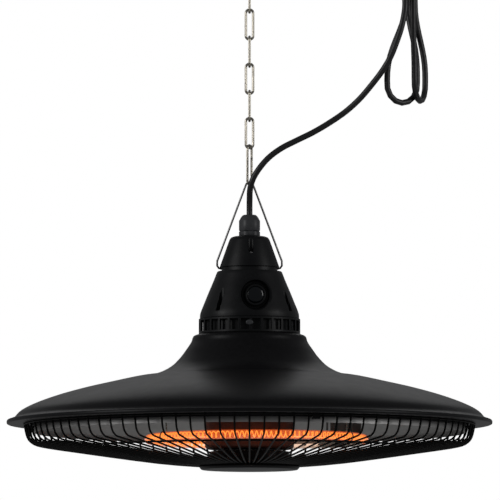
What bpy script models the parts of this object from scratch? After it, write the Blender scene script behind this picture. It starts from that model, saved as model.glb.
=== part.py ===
"""A hanging infrared heater: a bell-shaped shade on a chain, with a ring lamp behind a wire guard.

Lengths are in metres, +Z is up, the viewer stands on the -Y side and +X is to the right.
Heights are measured from the plane of the shade's rim, and the finished part is moved down
so that its origin is the middle of the ceiling plate's upper face.
"""

import math

import bmesh
import bpy
from mathutils import Matrix, Vector

MM = 0.001

# Driving dimensions
RIM_RADIUS = 300 * MM
RIM_DROP = 634 * MM
SHOULDER_RADIUS = 116 * MM
SHOULDER_HEIGHT = 60 * MM
NECK_RADIUS = 63 * MM
NECK_HEIGHT = 107.4 * MM
RING_RADIUS = 133 * MM
RING_TUBE = 11.5 * MM
RING_HEIGHT = -21 * MM
CORD_DIAMETER = 7.4 * MM
CHAIN_WIRE = 3.2 * MM
LINK_LENGTH = 37.2 * MM
LINK_WIDTH = 9 * MM
LINK_COUNT = 7

# Fits, edges and the number of sides of the small turned pieces
GAP = 0.3 * MM
OVERRUN = 5 * MM
EDGE_CHAMFER = 1 * MM
SHARP_ANGLE = math.radians(32)
QUARTER_TURN = math.radians(90)
PIN_SIDES = 10
SCREW_SIDES = 12
PAD_SIDES = 14
PLUG_SIDES = 16
BUTTON_SIDES = 20
PLATE_SIDES = 24
HUB_SIDES = 28

# Shade
LIP_WIDTH = 9 * MM
LIP_THICKNESS = 7 * MM
LIP_ROUND = 1.6 * MM
SHADE_WALL = 1.6 * MM
SKIRT_INSET = 30 * MM
SKIRT_RADIUS = RIM_RADIUS - SKIRT_INSET
SKIRT_DEPTH = 9.3 * MM
NECK_HOLE_RADIUS = 30 * MM
SHADE_SIDES = 36
NECK_CURVE_SHARES = (
    (0.0, 1.0), (0.12, 0.94), (0.17, 0.80), (0.28, 0.62), (0.44, 0.39), (0.66, 0.17), (1.0, 0.0),
)
BELL_CURVE_SHARES = (
    (0.14, 0.945), (0.33, 0.85), (0.52, 0.70), (0.70, 0.54), (0.85, 0.34), (0.95, 0.13), (1.0, 0.0),
)
# The points of the outside that the inside follows
SHADE_INNER_POINTS = (1, 4, 6, 9, 11, 13)

# Reflector
REFLECTOR_WALL = 1.0 * MM
REFLECTOR_EDGE_CLEARANCE = 4 * MM
REFLECTOR_EDGE_RADIUS = SKIRT_RADIUS - REFLECTOR_EDGE_CLEARANCE
REFLECTOR_EDGE_HEIGHT = -8 * MM
REFLECTOR_TOP_HEIGHT = 42 * MM
REFLECTOR_HOLE_RADIUS = 24 * MM
REFLECTOR_SIDES = 28
DISH_SHARES = ((0.28, 0.97), (0.50, 0.86), (0.72, 0.66), (0.88, 0.42), (0.965, 0.20), (1.0, 0.0))
STUD_RADIUS = 3.5 * MM
STUD_PLACE_RADIUS = 46 * MM
STUD_COUNT = 3
DRUM_RADIUS = 55 * MM
DRUM_BOTTOM = -35 * MM
DRUM_WALL = 1.2 * MM
DRUM_CHAMFER = 3 * MM

# Ring lamp
RING_WALL = 1 * MM
RING_TURN = math.radians(-52)
RING_SHIFT = 8.6 * MM
RING_END_ANGLE = math.radians(14)
COIL_END_ANGLE = math.radians(31)
COIL_RADIUS = 3 * MM
COIL_WIRE = 1.1 * MM
COIL_CURLS = 14
COIL_POINTS_PER_CURL = 7
RING_SIDES = 8
RING_STEPS = 26
CERAMIC_LENGTH = 15 * MM
CERAMIC_SIZE = 14 * MM
CLIP_WALL = 1.2 * MM
CLIP_WIDTH = 8 * MM
CLIP_OPENING = math.radians(55)
CLIP_STEPS = 5
CLIP_ANGLES = (math.radians(-32), math.radians(212))
BRACKET_WIDTH = 60 * MM
BRACKET_WALL = 1.5 * MM
LEAD_DIAMETER = 2.6 * MM
LEAD_HOLE_RADIUS = 4 * MM
LEAD_BEND_SHARES = (0.9, 0.45)
LEAD_RISE = 8 * MM
LEAD_STEP = 24 * MM

# Wire guard
GUARD_WIRES = 96
GUARD_WIRE = 2.4 * MM
GUARD_CLEARANCE = 6 * MM
GUARD_RIM_RADIUS = SKIRT_RADIUS + GUARD_CLEARANCE
GUARD_RIM_HEIGHT = -6 * MM
KNUCKLE_INSET = 8.5 * MM
KNUCKLE_RADIUS = GUARD_RIM_RADIUS - KNUCKLE_INSET
KNUCKLE_HEIGHT = -18 * MM
BREAK_RADIUS = 177 * MM
BREAK_HEIGHT = -40 * MM
HUB_RADIUS = 61.8 * MM
HUB_BOTTOM = -60.3 * MM
HUB_THICKNESS = 4.4 * MM
HUB_CHAMFER = 2.5 * MM
HUB_RING_RADIUS = 55 * MM
HUB_WASHER_RADIUS = 59 * MM
HUB_WASHER_THICKNESS = 1.5 * MM
HUB_SCREW_RADIUS = 3 * MM
HUB_SCREW_HEAD_RADIUS = 6 * MM
HUB_SCREW_HEAD_HEIGHT = 3 * MM
GUARD_CLIP_COUNT = 3
GUARD_CLIP_WIDTH = 9 * MM
GUARD_CLIP_WALL = 1.6 * MM
GUARD_CLIP_ANGLE = math.radians(45)

# Vent collar
COLLAR_INSET = 0.3 * MM
COLLAR_RADIUS = NECK_RADIUS - COLLAR_INSET
COLLAR_WALL = 3 * MM
COLLAR_HEIGHT = 18.4 * MM
COLLAR_BARS = 20
COLLAR_BAR_SHARE = 0.5
COLLAR_HOOP = 2.6 * MM
LATCH_SIZE = (10 * MM, 2.5 * MM, 6.5 * MM)

# Lower housing, turned a little about the upright axis as in the photograph
HOUSING_YAW = math.radians(8.3)
HOUSING_INSET = 1.3 * MM
HOUSING_FOOT_RADIUS = COLLAR_RADIUS - HOUSING_INSET
HOUSING_TOP_RADIUS = 39.4 * MM
HOUSING_HEIGHT = 58.8 * MM
HOUSING_WALL = 3 * MM
HOUSING_SIDES = 32
HOUSING_BULGE_SHARES = (
    (0.0, 0.0), (0.03, 0.12), (0.25, 0.33), (0.5, 0.56), (0.75, 0.78), (0.95, 0.97), (1.0, 1.0),
)
SPIGOT_RADIUS = 34.5 * MM
SPIGOT_WALL = 2.5 * MM
SPIGOT_HEIGHT = 11 * MM
GROOVE_HEIGHT = 5 * MM
CHANNEL_RADIUS = 3.4 * MM
CHANNEL_INSET = 8.9 * MM
CHANNEL_AXIS_RADIUS = HOUSING_FOOT_RADIUS - CHANNEL_INSET
CHANNEL_FLOOR = 7.5 * MM
CHANNEL_ANGLES = (math.radians(49), math.radians(-49))
BOSS_RADIUS = 6 * MM
BOSS_INSET = 2.2 * MM
BOSS_HEIGHT = 30 * MM
SCREW_HEAD_RADIUS = 2.9 * MM
SCREW_HEAD_HEIGHT = 2.2 * MM
PAN_HEAD_SHARE = 0.72

# Push button in the housing's front
BUTTON_RADIUS = 10 * MM
BUTTON_THICKNESS = 3.6 * MM
BUTTON_CROWN = 1 * MM
BUTTON_CROWN_SHARE = 0.78
BUTTON_TRAVEL = 2 * MM
BUTTON_HEIGHT = 26.8 * MM
BUTTON_STEM_RADIUS = 3 * MM
BUTTON_STEM_LENGTH = 8 * MM
BEZEL_RADIUS = 13.8 * MM
BEZEL_THICKNESS = 5 * MM
RECESS_RADIUS = 17.5 * MM
RECESS_INSET = 16 * MM
RECESS_FLOOR = HOUSING_FOOT_RADIUS - RECESS_INSET
PAD_THICKNESS = 4 * MM

# Inside the housing
BASE_THICKNESS = 2 * MM
BASE_HOLE_RADIUS = 12 * MM
BOARD_SIZE = (46 * MM, 1.6 * MM, 42 * MM)
SWITCH_SIZE = 10 * MM
TERMINAL_SIZE = (34 * MM, 16 * MM, 12 * MM)
CUTOUT_RADIUS = 8 * MM
CUTOUT_HEIGHT = 7 * MM
CUTOUT_PLACE = (-24 * MM, 26 * MM)
INNER_CORD_DIAMETER = 6.4 * MM

# Top cap
CAP_FOOT_RADIUS = 37 * MM
CAP_SHOULDER_RADIUS = 24.8 * MM
CAP_HEIGHT = 38.4 * MM
CAP_SHOULDER_HEIGHT = 34.2 * MM
CAP_CROWN_RADIUS = 18.5 * MM
CAP_BORE_RADIUS = 14.5 * MM
CAP_TOP_WALL = 7 * MM
CAP_SIDES = 28
SLOT_RADIUS = 3.6 * MM
SLOT_AXIS_RADIUS = 29 * MM
SLOT_FLOOR = 12.4 * MM

# Cord gland
GLAND_THREAD_RADIUS = 9.6 * MM
GLAND_NUT_RADIUS = 13.2 * MM
GLAND_BODY_HEIGHT = 6 * MM
GLAND_NUT_HEIGHT = 20 * MM
GLAND_DOME_RADIUS = 8.8 * MM
GLAND_DOME_HEIGHT = 6 * MM
GLAND_TOP_WALL = 2.6 * MM
GLAND_NUT_BORE = 9 * MM
GLAND_BODY_BORE = 3.6 * MM

# Bail
BAIL_WIRE = 2.5 * MM
BAIL_FOOT_HEIGHT = 3.2 * MM
BAIL_HEIGHT = 107.3 * MM
BAIL_HALF_WIDTH = 40 * MM
BAIL_ELBOW_HEIGHT = 9.5 * MM
BAIL_TOP_HALF_WIDTH = 5.6 * MM
BAIL_TOP_DROP = 6.2 * MM
BAIL_FOOT_END = 29.5 * MM
BAIL_BEND_SHARES = (0.2, 0.1, 0.4, 0.66, 0.25)

# Snap hook between bail and chain
SNAP_WIRE = 3 * MM
SNAP_LENGTH = 49 * MM
SNAP_WIDTH = 11 * MM
SNAP_YAW = math.radians(62)
GATE_LOW = 10 * MM
GATE_HIGH = 34 * MM
GATE_TAPER = 1 * MM
GATE_FOOT_RADIUS = 0.6 * MM
SNAP_BOW_STEPS = 8

# Ceiling plate and chain hook
PLATE_RADIUS = 26 * MM
PLATE_THICKNESS = 4 * MM
PLATE_SCREW_OFFSET = 16.5 * MM
PLATE_SCREW_HEAD_RADIUS = 4.2 * MM
PLATE_SCREW_HEAD_HEIGHT = 2.4 * MM
HOOK_WIRE = 4 * MM
HOOK_BOWL_RADIUS = 8 * MM
HOOK_TIP_RISE = 5 * MM
HOOK_NECK_SHARES = (0.9, 1.9, 0.75)
BOW_STEPS = 5
HOOK_STEPS = 10

# Cord hook
CORD_HOOK_X = 199.4 * MM
CORD_HOOK_WIRE = 5 * MM
CORD_HOOK_DROP = 34 * MM
CORD_HOOK_ARM_HEIGHT = RIM_DROP - CORD_HOOK_DROP
CORD_HOOK_BACK = 26 * MM
CORD_HOOK_FRONT = 26 * MM
CORD_HOOK_TIP_RISE = 10 * MM
CORD_HOOK_BEND = 6 * MM
CORD_HOOK_CORNER_SHARE = 0.3

# Free stretch of the cord: points chosen by hand, each x, y and height above the rim plane
CORD_ROUTE = (
    (0 * MM, 0 * MM, 254.2 * MM),
    (0 * MM, -0.3 * MM, 262 * MM),
    (0.1 * MM, -3 * MM, 274 * MM),
    (0.8 * MM, -9 * MM, 288 * MM),
    (4.6 * MM, -13.6 * MM, 302 * MM),
    (12.5 * MM, -15.5 * MM, 315.8 * MM),
    (24.2 * MM, -16 * MM, 329.5 * MM),
    (40 * MM, -16 * MM, 341.4 * MM),
    (59.7 * MM, -16 * MM, 351.4 * MM),
    (79.4 * MM, -16.5 * MM, 361.1 * MM),
    (99 * MM, -17 * MM, 371.9 * MM),
    (118.8 * MM, -18 * MM, 384.7 * MM),
    (136.5 * MM, -23 * MM, 399.5 * MM),
    (152.3 * MM, -27.5 * MM, 416.2 * MM),
    (164 * MM, -31.5 * MM, 431.5 * MM),
    (173.9 * MM, -34.5 * MM, 448 * MM),
    (181.8 * MM, -36 * MM, 467.5 * MM),
    (188.2 * MM, -36 * MM, 487.5 * MM),
    (192 * MM, -35 * MM, 509 * MM),
    (191.5 * MM, -32.5 * MM, 526 * MM),
    (188.5 * MM, -29.5 * MM, 543 * MM),
)
CORD_STEP = 18 * MM

# Hank of cord over the cord hook
HANK_LOOPS = 2
HANK_FOLD_RADIUS = 23 * MM
HANK_PITCH = 9 * MM
HANK_BOTTOM = 393.5 * MM
HANK_FAN_TOP = 515 * MM
HANK_FAN_FOOT = 430 * MM
HANK_TOP_YAW = math.radians(80)
HANK_YAWS = (math.radians(34), math.radians(72))
HANK_BOTTOM_PLACES = (
    (188.5 * MM, -10 * MM, 0 * MM),
    (211 * MM, 4 * MM, 3.5 * MM),
)
HANK_POINTS_PER_LOOP = 24
HANK_END_SHIFT = 17 * MM
HANK_LEAD_SHARE = 0.06
HANK_STUB_SHARE = 0.2
HANK_END_SHARE = 0.14
TIE_WALL = 1.2 * MM
TIE_HEIGHT = 10 * MM
TIE_SLACK = 1 * MM
TIE_DROP = 8 * MM
TIE_STEPS = 6

# Plug
PLUG_RADIUS = 19 * MM
PLUG_LENGTH = 22 * MM
PLUG_RELIEF_LENGTH = 8 * MM
PLUG_RELIEF_RADIUS = 5.5 * MM
PIN_RADIUS = 2.4 * MM
PIN_LENGTH = 16 * MM
PIN_SPACING = 19 * MM
PLUG_NECK_SHARE = 0.62

# Heights that follow from the sizes above
COLLAR_FOOT = NECK_HEIGHT + GAP
COLLAR_TOP = COLLAR_FOOT + COLLAR_HEIGHT
BASE_FOOT = COLLAR_TOP + GAP
HOUSING_FOOT = COLLAR_TOP + GAP
HOUSING_TOP = HOUSING_FOOT + HOUSING_HEIGHT
CAP_FOOT = HOUSING_TOP + GROOVE_HEIGHT
CAP_TOP = CAP_FOOT + CAP_HEIGHT
PIVOT_HEIGHT = HOUSING_TOP + BAIL_FOOT_HEIGHT
BAIL_TOP = PIVOT_HEIGHT + BAIL_HEIGHT
SNAP_BOTTOM = BAIL_TOP - (BAIL_WIRE + SNAP_WIRE) / 2 - GAP
SNAP_TOP = SNAP_BOTTOM + SNAP_LENGTH
LOWEST_LINK_BOTTOM = SNAP_TOP - (SNAP_WIRE + CHAIN_WIRE) / 2 - GAP
LINK_PITCH = LINK_LENGTH - CHAIN_WIRE - GAP
HIGHEST_LINK_TOP = LOWEST_LINK_BOTTOM + LINK_PITCH * (LINK_COUNT - 1) + LINK_LENGTH
HOOK_BOTTOM = HIGHEST_LINK_TOP - (CHAIN_WIRE + HOOK_WIRE) / 2 - GAP
PLATE_FOOT = RIM_DROP - PLATE_THICKNESS
RING_TOP = RING_HEIGHT + RING_TUBE / 2

# Turns a piece that is drawn upright so that it points to the viewer
TO_FRONT = Matrix.Rotation(QUARTER_TURN, 4, "X")


def clear_scene():
    for old in list(bpy.data.objects):
        bpy.data.objects.remove(old, do_unlink=True)


def finish_of(name, colour, roughness, metallic=0.0, glow=0.0):
    """One node's own material."""
    made = bpy.data.materials.new(name + "_finish")
    made.use_nodes = True
    shader = made.node_tree.nodes["Principled BSDF"]
    shader.inputs["Base Color"].default_value = (*colour, 1.0)
    shader.inputs["Roughness"].default_value = roughness
    shader.inputs["Metallic"].default_value = metallic
    if glow:
        shader.inputs["Emission Color"].default_value = (*colour, 1.0)
        shader.inputs["Emission Strength"].default_value = glow
    return made


FINISHES = {
    "powder_black": ((0.022, 0.022, 0.024), 0.45, 0.0, 0.0),
    "plastic_black": ((0.018, 0.019, 0.022), 0.38, 0.0, 0.0),
    "plastic_grey": ((0.07, 0.07, 0.075), 0.5, 0.0, 0.0),
    "button_gloss": ((0.01, 0.012, 0.03), 0.08, 0.0, 0.0),
    "aluminium": ((0.42, 0.42, 0.42), 0.35, 1.0, 0.0),
    "steel": ((0.62, 0.6, 0.58), 0.25, 1.0, 0.0),
    "zinc": ((0.72, 0.7, 0.66), 0.22, 1.0, 0.0),
    "black_wire": ((0.03, 0.03, 0.03), 0.4, 0.0, 0.0),
    "quartz": ((0.9, 0.55, 0.3), 0.05, 0.0, 0.0),
    "glowing": ((1.0, 0.45, 0.1), 0.5, 0.0, 4.0),
    "ceramic": ((0.8, 0.77, 0.7), 0.6, 0.0, 0.0),
    "rubber": ((0.025, 0.025, 0.027), 0.65, 0.0, 0.0),
    "board": ((0.05, 0.22, 0.1), 0.5, 0.0, 0.0),
    "brass": ((0.75, 0.58, 0.28), 0.3, 1.0, 0.0),
}


def dress(made, finish, parent):
    made.data.materials.append(finish_of(made.name, *FINISHES[finish]))
    made.parent = parent
    return made


def mesh_node(name, bm, finish, parent, flat=False):
    """Turn a bmesh into a named object with its own material."""
    bm.normal_update()
    bmesh.ops.recalc_face_normals(bm, faces=bm.faces)
    if bm.calc_volume(signed=True) < 0:
        bmesh.ops.reverse_faces(bm, faces=bm.faces)
    mesh = bpy.data.meshes.new(name)
    bm.to_mesh(mesh)
    bm.free()
    if not flat:
        mesh.shade_smooth()
        mesh.set_sharp_from_angle(angle=SHARP_ANGLE)
    made = bpy.data.objects.new(name, mesh)
    bpy.context.collection.objects.link(made)
    return dress(made, finish, parent)


def turned_bmesh(outline, sides, whole=True):
    """Turn an outline of (radius, height) about Z. A point at radius zero becomes a pole."""
    bm = bmesh.new()
    rings = []
    for radius, height in outline:
        if radius == 0:
            rings.append([bm.verts.new((0, 0, height))])
            continue
        turn = 2 * math.pi / sides
        ring = [(radius * math.cos(turn * n), radius * math.sin(turn * n), height) for n in range(sides)]
        rings.append([bm.verts.new(place) for place in ring])
    pairs = list(zip(rings, rings[1:]))
    if whole:
        pairs.append((rings[-1], rings[0]))
    for first, second in pairs:
        for n in range(sides):
            m = (n + 1) % sides
            if len(first) == 1 and len(second) == 1:
                break
            if len(first) == 1:
                bm.faces.new((first[0], second[n], second[m]))
            elif len(second) == 1:
                bm.faces.new((first[n], first[m], second[0]))
            else:
                bm.faces.new((first[n], first[m], second[m], second[n]))
    return bm


def turned(name, outline, sides, finish, parent, at=(0, 0, 0), turn=None):
    """A turned solid. An outline that starts at the axis ends there too."""
    bm = turned_bmesh(outline, sides, whole=outline[0][0] != 0)
    if turn is not None:
        bm.transform(turn)
    made = mesh_node(name, bm, finish, parent)
    made.location = at
    return made


def disc_outline(radius, low, high, chamfer=0):
    """Half section of a plain disc, with its edges taken off where a chamfer is given."""
    if not chamfer:
        return [(0, high), (radius, high), (radius, low), (0, low)]
    inner = radius - chamfer
    upper = [(0, high), (inner, high), (radius, high - chamfer)]
    return upper + [(radius, low + chamfer), (inner, low), (0, low)]


def ring_outline(inner, outer, low, high):
    return [(inner, high), (outer, high), (outer, low), (inner, low)]


def prism(name, outline, low, high, finish, parent, at=(0, 0, 0)):
    """Extrude an outline in X and Y from one height to another."""
    bm = bmesh.new()
    bottom = [bm.verts.new((x, y, low)) for x, y in outline]
    top = [bm.verts.new((x, y, high)) for x, y in outline]
    count = len(outline)
    bm.faces.new(bottom)
    bm.faces.new(top)
    for n in range(count):
        m = (n + 1) % count
        bm.faces.new((bottom[n], bottom[m], top[m], top[n]))
    made = mesh_node(name, bm, finish, parent)
    made.location = at
    return made


def section_bar(name, outline, width, angle, finish, parent):
    """Extrude an outline of (radius, height) sideways, and set it at an angle round Z."""
    bm = bmesh.new()
    near = [bm.verts.new((radius, -width / 2, height)) for radius, height in outline]
    far = [bm.verts.new((radius, width / 2, height)) for radius, height in outline]
    count = len(outline)
    bm.faces.new(near)
    bm.faces.new(far)
    for n in range(count):
        m = (n + 1) % count
        bm.faces.new((near[n], near[m], far[m], far[n]))
    made = mesh_node(name, bm, finish, parent, flat=True)
    made.rotation_euler = (0, 0, angle)
    return made


def box(name, size, centre, finish, parent, bevel=0):
    bm = bmesh.new()
    bmesh.ops.create_cube(bm, size=1)
    bmesh.ops.scale(bm, vec=size, verts=bm.verts)
    bmesh.ops.translate(bm, vec=centre, verts=bm.verts)
    made = mesh_node(name, bm, finish, parent, flat=True)
    if bevel:
        soften(made, bevel)
    return made


def soften(made, width):
    """Take the edges off."""
    rounding = made.modifiers.new("edges", "BEVEL")
    rounding.width = width
    rounding.segments = 1


def smooth_path(points, steps):
    """Points along a Catmull-Rom curve through the given ones."""
    places = [Vector(p) for p in points]
    ends = [2 * places[0] - places[1]] + places + [2 * places[-1] - places[-2]]
    found = []
    for n in range(1, len(ends) - 2):
        before, here, there, after = ends[n - 1 : n + 3]
        for step in range(steps):
            t = step / steps
            bent = 2 * here + t * (there - before)
            bent += t * t * (2 * before - 5 * here + 4 * there - after)
            bent += t * t * t * (3 * here - 3 * there + after - before)
            found.append(bent / 2)
    return found + [places[-1]]


def even_path(points, step):
    """The same route with points a near-even step apart."""
    dense = smooth_path(points, 16)
    lengths = [0.0]
    for here, there in zip(dense, dense[1:]):
        lengths.append(lengths[-1] + (there - here).length)
    count = max(2, round(lengths[-1] / step))
    found = []
    n = 0
    for k in range(count + 1):
        wanted = lengths[-1] * k / count
        while n < len(dense) - 2 and lengths[n + 1] < wanted:
            n += 1
        share = (wanted - lengths[n]) / (lengths[n + 1] - lengths[n])
        found.append(dense[n].lerp(dense[n + 1], min(share, 1)))
    return found


def wire(name, points, diameter, finish, parent, closed=False, resolution=2):
    """A round wire or cord along points, as a bevelled curve with filled ends."""
    data = bpy.data.curves.new(name, "CURVE")
    data.dimensions = "3D"
    data.twist_mode = "MINIMUM"
    spline = data.splines.new("POLY")
    spline.points.add(len(points) - 1)
    for place, point in zip(points, spline.points):
        point.co = (*place, 1)
    spline.use_cyclic_u = closed
    data.bevel_depth = diameter / 2
    data.bevel_resolution = resolution
    data.use_fill_caps = not closed
    made = bpy.data.objects.new(name, data)
    bpy.context.collection.objects.link(made)
    return dress(made, finish, parent)


def as_guide(tool):
    tool.hide_render = True
    tool.display_type = "WIRE"
    tool.name = "guide_" + tool.name
    return tool


def combine(target, tool, operation):
    as_guide(tool)
    step = target.modifiers.new(tool.name, "BOOLEAN")
    step.operation = operation
    step.object = tool
    step.solver = "EXACT"


def arc(centre, radius, start, end, steps):
    """Points on an arc in a plane, both ends included."""
    return [
        (
            centre[0] + radius * math.cos(start + (end - start) * n / steps),
            centre[1] + radius * math.sin(start + (end - start) * n / steps),
        )
        for n in range(steps + 1)
    ]


def inset_outline(points, distance):
    """The outline moved sideways, towards the axis side of its direction of travel."""
    places = [Vector(p) for p in points]
    moved = []
    for n, here in enumerate(places):
        before = places[max(n - 1, 0)]
        after = places[min(n + 1, len(places) - 1)]
        way = (after - before).normalized()
        moved.append(here + Vector((way.y, -way.x)) * distance)
    return [tuple(p) for p in moved]


def between(shares, low, high):
    """Points placed by their shares of the way from one corner to the other."""
    return [
        (low[0] + (high[0] - low[0]) * across, low[1] + (high[1] - low[1]) * up) for across, up in shares
    ]


def shade_curve():
    """The shade's outer outline, from the top of the neck down to the rim."""
    neck = between(NECK_CURVE_SHARES, (NECK_RADIUS, SHOULDER_HEIGHT), (SHOULDER_RADIUS, NECK_HEIGHT))
    foot = (SHOULDER_RADIUS, LIP_THICKNESS / 2)
    bell = between(BELL_CURVE_SHARES, foot, (RIM_RADIUS - LIP_WIDTH, SHOULDER_HEIGHT))
    return neck + bell


def make_shade(parent):
    outer = shade_curve()
    inset = inset_outline(outer, SHADE_WALL)
    inner = [inset[n] for n in SHADE_INNER_POINTS]
    half = LIP_THICKNESS / 2
    flange = [
        (RIM_RADIUS - LIP_ROUND, half),
        (RIM_RADIUS, half - LIP_ROUND),
        (RIM_RADIUS, LIP_ROUND - half),
        (RIM_RADIUS - LIP_ROUND, -half),
        (SKIRT_RADIUS, -half),
        (SKIRT_RADIUS, -SKIRT_DEPTH),
        (SKIRT_RADIUS - SHADE_WALL, -SKIRT_DEPTH),
        (SKIRT_RADIUS - SHADE_WALL, SHADE_WALL - half),
        (inner[-1][0], SHADE_WALL - half),
    ]
    top = [(NECK_HOLE_RADIUS, NECK_HEIGHT - SHADE_WALL), (NECK_HOLE_RADIUS, NECK_HEIGHT)]
    under = [(NECK_RADIUS - SHADE_WALL, NECK_HEIGHT - SHADE_WALL)]
    outline = outer + flange + inner[::-1] + under + top
    return turned("shade", outline, SHADE_SIDES, "powder_black", parent)


def dish_curve():
    """The reflector's upper outline, from its hole out to its edge."""
    start = (REFLECTOR_HOLE_RADIUS, REFLECTOR_TOP_HEIGHT)
    low = (REFLECTOR_HOLE_RADIUS, REFLECTOR_EDGE_HEIGHT)
    high = (REFLECTOR_EDGE_RADIUS, REFLECTOR_TOP_HEIGHT)
    return [start] + between(DISH_SHARES, low, high)


def dish_height(radius):
    """Height of the reflector's upper side at a radius."""
    curve = dish_curve()
    for (near, high), (far, low) in zip(curve, curve[1:]):
        if near <= radius <= far:
            return high + (low - high) * (radius - near) / (far - near)
    return curve[-1][1]


def make_reflector(parent, lamp):
    outer = dish_curve()
    inner = inset_outline(outer, REFLECTOR_WALL)
    made = turned("reflector", outer + inner[::-1], REFLECTOR_SIDES, "aluminium", parent)
    for side in (-1, 1):
        hole = turned(
            f"lead_hole_{side + 2}",
            disc_outline(LEAD_HOLE_RADIUS, RING_TOP, REFLECTOR_TOP_HEIGHT),
            PIN_SIDES,
            "steel",
            lamp,
            at=(*lead_place(side), 0),
        )
        combine(made, hole, "DIFFERENCE")
    return made


def make_centre_drum(parent):
    """The cup under the middle of the reflector."""
    top = dish_height(DRUM_RADIUS) - REFLECTOR_WALL - GAP
    outline = [
        (0, DRUM_BOTTOM),
        (DRUM_RADIUS - DRUM_CHAMFER, DRUM_BOTTOM),
        (DRUM_RADIUS, DRUM_BOTTOM + DRUM_CHAMFER),
        (DRUM_RADIUS, top),
        (DRUM_RADIUS - DRUM_WALL, top),
        (DRUM_RADIUS - DRUM_WALL, DRUM_BOTTOM + DRUM_CHAMFER),
        (DRUM_RADIUS - DRUM_CHAMFER, DRUM_BOTTOM + DRUM_WALL),
        (0, DRUM_BOTTOM + DRUM_WALL),
    ]
    turned("centre_drum", outline, PLATE_SIDES, "aluminium", parent)


def make_studs(parent):
    """Studs that hang the reflector from the shade's neck."""
    top = NECK_HEIGHT - SHADE_WALL - GAP
    for n in range(STUD_COUNT):
        angle = QUARTER_TURN + 2 * math.pi * n / STUD_COUNT
        foot = dish_height(STUD_PLACE_RADIUS - STUD_RADIUS) + GAP
        place = (STUD_PLACE_RADIUS * math.cos(angle), STUD_PLACE_RADIUS * math.sin(angle), 0)
        outline = disc_outline(STUD_RADIUS, foot, top)
        turned(f"reflector_stud_{n + 1}", outline, PIN_SIDES, "steel", parent, at=place)


def lattice_bmesh(stations, bars, widths, thickness, hooped):
    """Bars that follow stations of (radius, height), evenly round Z, joined where a stretch is hooped."""
    bm = bmesh.new()
    places = [Vector(s) for s in stations]
    corners = []
    for k in range(bars):
        angle = 2 * math.pi * k / bars
        rows = []
        for n, place in enumerate(places):
            way = (places[min(n + 1, len(places) - 1)] - places[max(n - 1, 0)]).normalized()
            out = Vector((way.y, -way.x)) * (thickness / 2)
            row = []
            for face in (-1, 1):
                spot = place + out * face
                half = widths[n] / (2 * spot.x)
                for side in (-1, 1):
                    round_z = angle + side * half
                    row.append(bm.verts.new((spot.x * math.cos(round_z), spot.x * math.sin(round_z), spot.y)))
            rows.append(row)
        corners.append(rows)
    last = len(places) - 1
    for k, rows in enumerate(corners):
        beside = corners[(k + 1) % bars]
        bm.faces.new((rows[0][0], rows[0][1], rows[0][3], rows[0][2]))
        bm.faces.new((rows[last][0], rows[last][1], rows[last][3], rows[last][2]))
        for n in range(last):
            a, b = rows[n], rows[n + 1]
            c, d = beside[n], beside[n + 1]
            bm.faces.new((a[0], a[1], b[1], b[0]))
            bm.faces.new((a[2], a[3], b[3], b[2]))
            if n not in hooped:
                bm.faces.new((a[1], a[3], b[3], b[1]))
                bm.faces.new((c[0], c[2], d[2], d[0]))
                continue
            bm.faces.new((a[1], c[0], d[0], b[1]))
            bm.faces.new((a[3], c[2], d[2], b[3]))
            if n == 0 or n - 1 not in hooped:
                bm.faces.new((a[1], a[3], c[2], c[0]))
            if n == last - 1 or n + 1 not in hooped:
                bm.faces.new((b[1], b[3], d[2], d[0]))
    return bm


def guard_stations():
    """The guard's side, knuckle and cone, from its rim hoop in to the ring at its hub."""
    hub_height = HUB_BOTTOM + HUB_THICKNESS + GAP + GUARD_WIRE / 2
    side = Vector((KNUCKLE_RADIUS - GUARD_RIM_RADIUS, KNUCKLE_HEIGHT - GUARD_RIM_HEIGHT))
    side = side.normalized() * GUARD_WIRE
    return [
        (GUARD_RIM_RADIUS, GUARD_RIM_HEIGHT),
        (GUARD_RIM_RADIUS + side.x, GUARD_RIM_HEIGHT + side.y),
        (KNUCKLE_RADIUS, KNUCKLE_HEIGHT),
        (BREAK_RADIUS, BREAK_HEIGHT),
        (HUB_RING_RADIUS + GUARD_WIRE, hub_height),
        (HUB_RING_RADIUS, hub_height),
    ]


def make_guard(parent):
    stations = guard_stations()
    widths = [GUARD_WIRE] * len(stations)
    bm = lattice_bmesh(stations, GUARD_WIRES, widths, GUARD_WIRE, {0, len(stations) - 2})
    return mesh_node("wire_guard", bm, "black_wire", parent)


def make_guard_hub(parent):
    top = HUB_BOTTOM + HUB_THICKNESS
    plate = [
        (0, top),
        (HUB_RADIUS, top),
        (HUB_RADIUS, top - HUB_CHAMFER),
        (HUB_RADIUS - HUB_CHAMFER, HUB_BOTTOM),
        (0, HUB_BOTTOM),
    ]
    turned("guard_hub_plate", plate, HUB_SIDES, "powder_black", parent)
    washer_foot = top + 2 * GAP + GUARD_WIRE
    washer_top = washer_foot + HUB_WASHER_THICKNESS
    washer = ring_outline(HUB_SCREW_RADIUS + GAP, HUB_WASHER_RADIUS, washer_foot, washer_top)
    turned("guard_hub_washer", washer, BUTTON_SIDES, "powder_black", parent)
    head_foot = washer_top + GAP
    head_top = head_foot + HUB_SCREW_HEAD_HEIGHT
    screw = [
        (0, head_top),
        (HUB_SCREW_HEAD_RADIUS, head_top),
        (HUB_SCREW_HEAD_RADIUS, head_foot),
        (HUB_SCREW_RADIUS, head_foot),
        (HUB_SCREW_RADIUS, top + GAP),
        (0, top + GAP),
    ]
    turned("guard_hub_screw", screw, SCREW_SIDES, "steel", parent)


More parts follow.
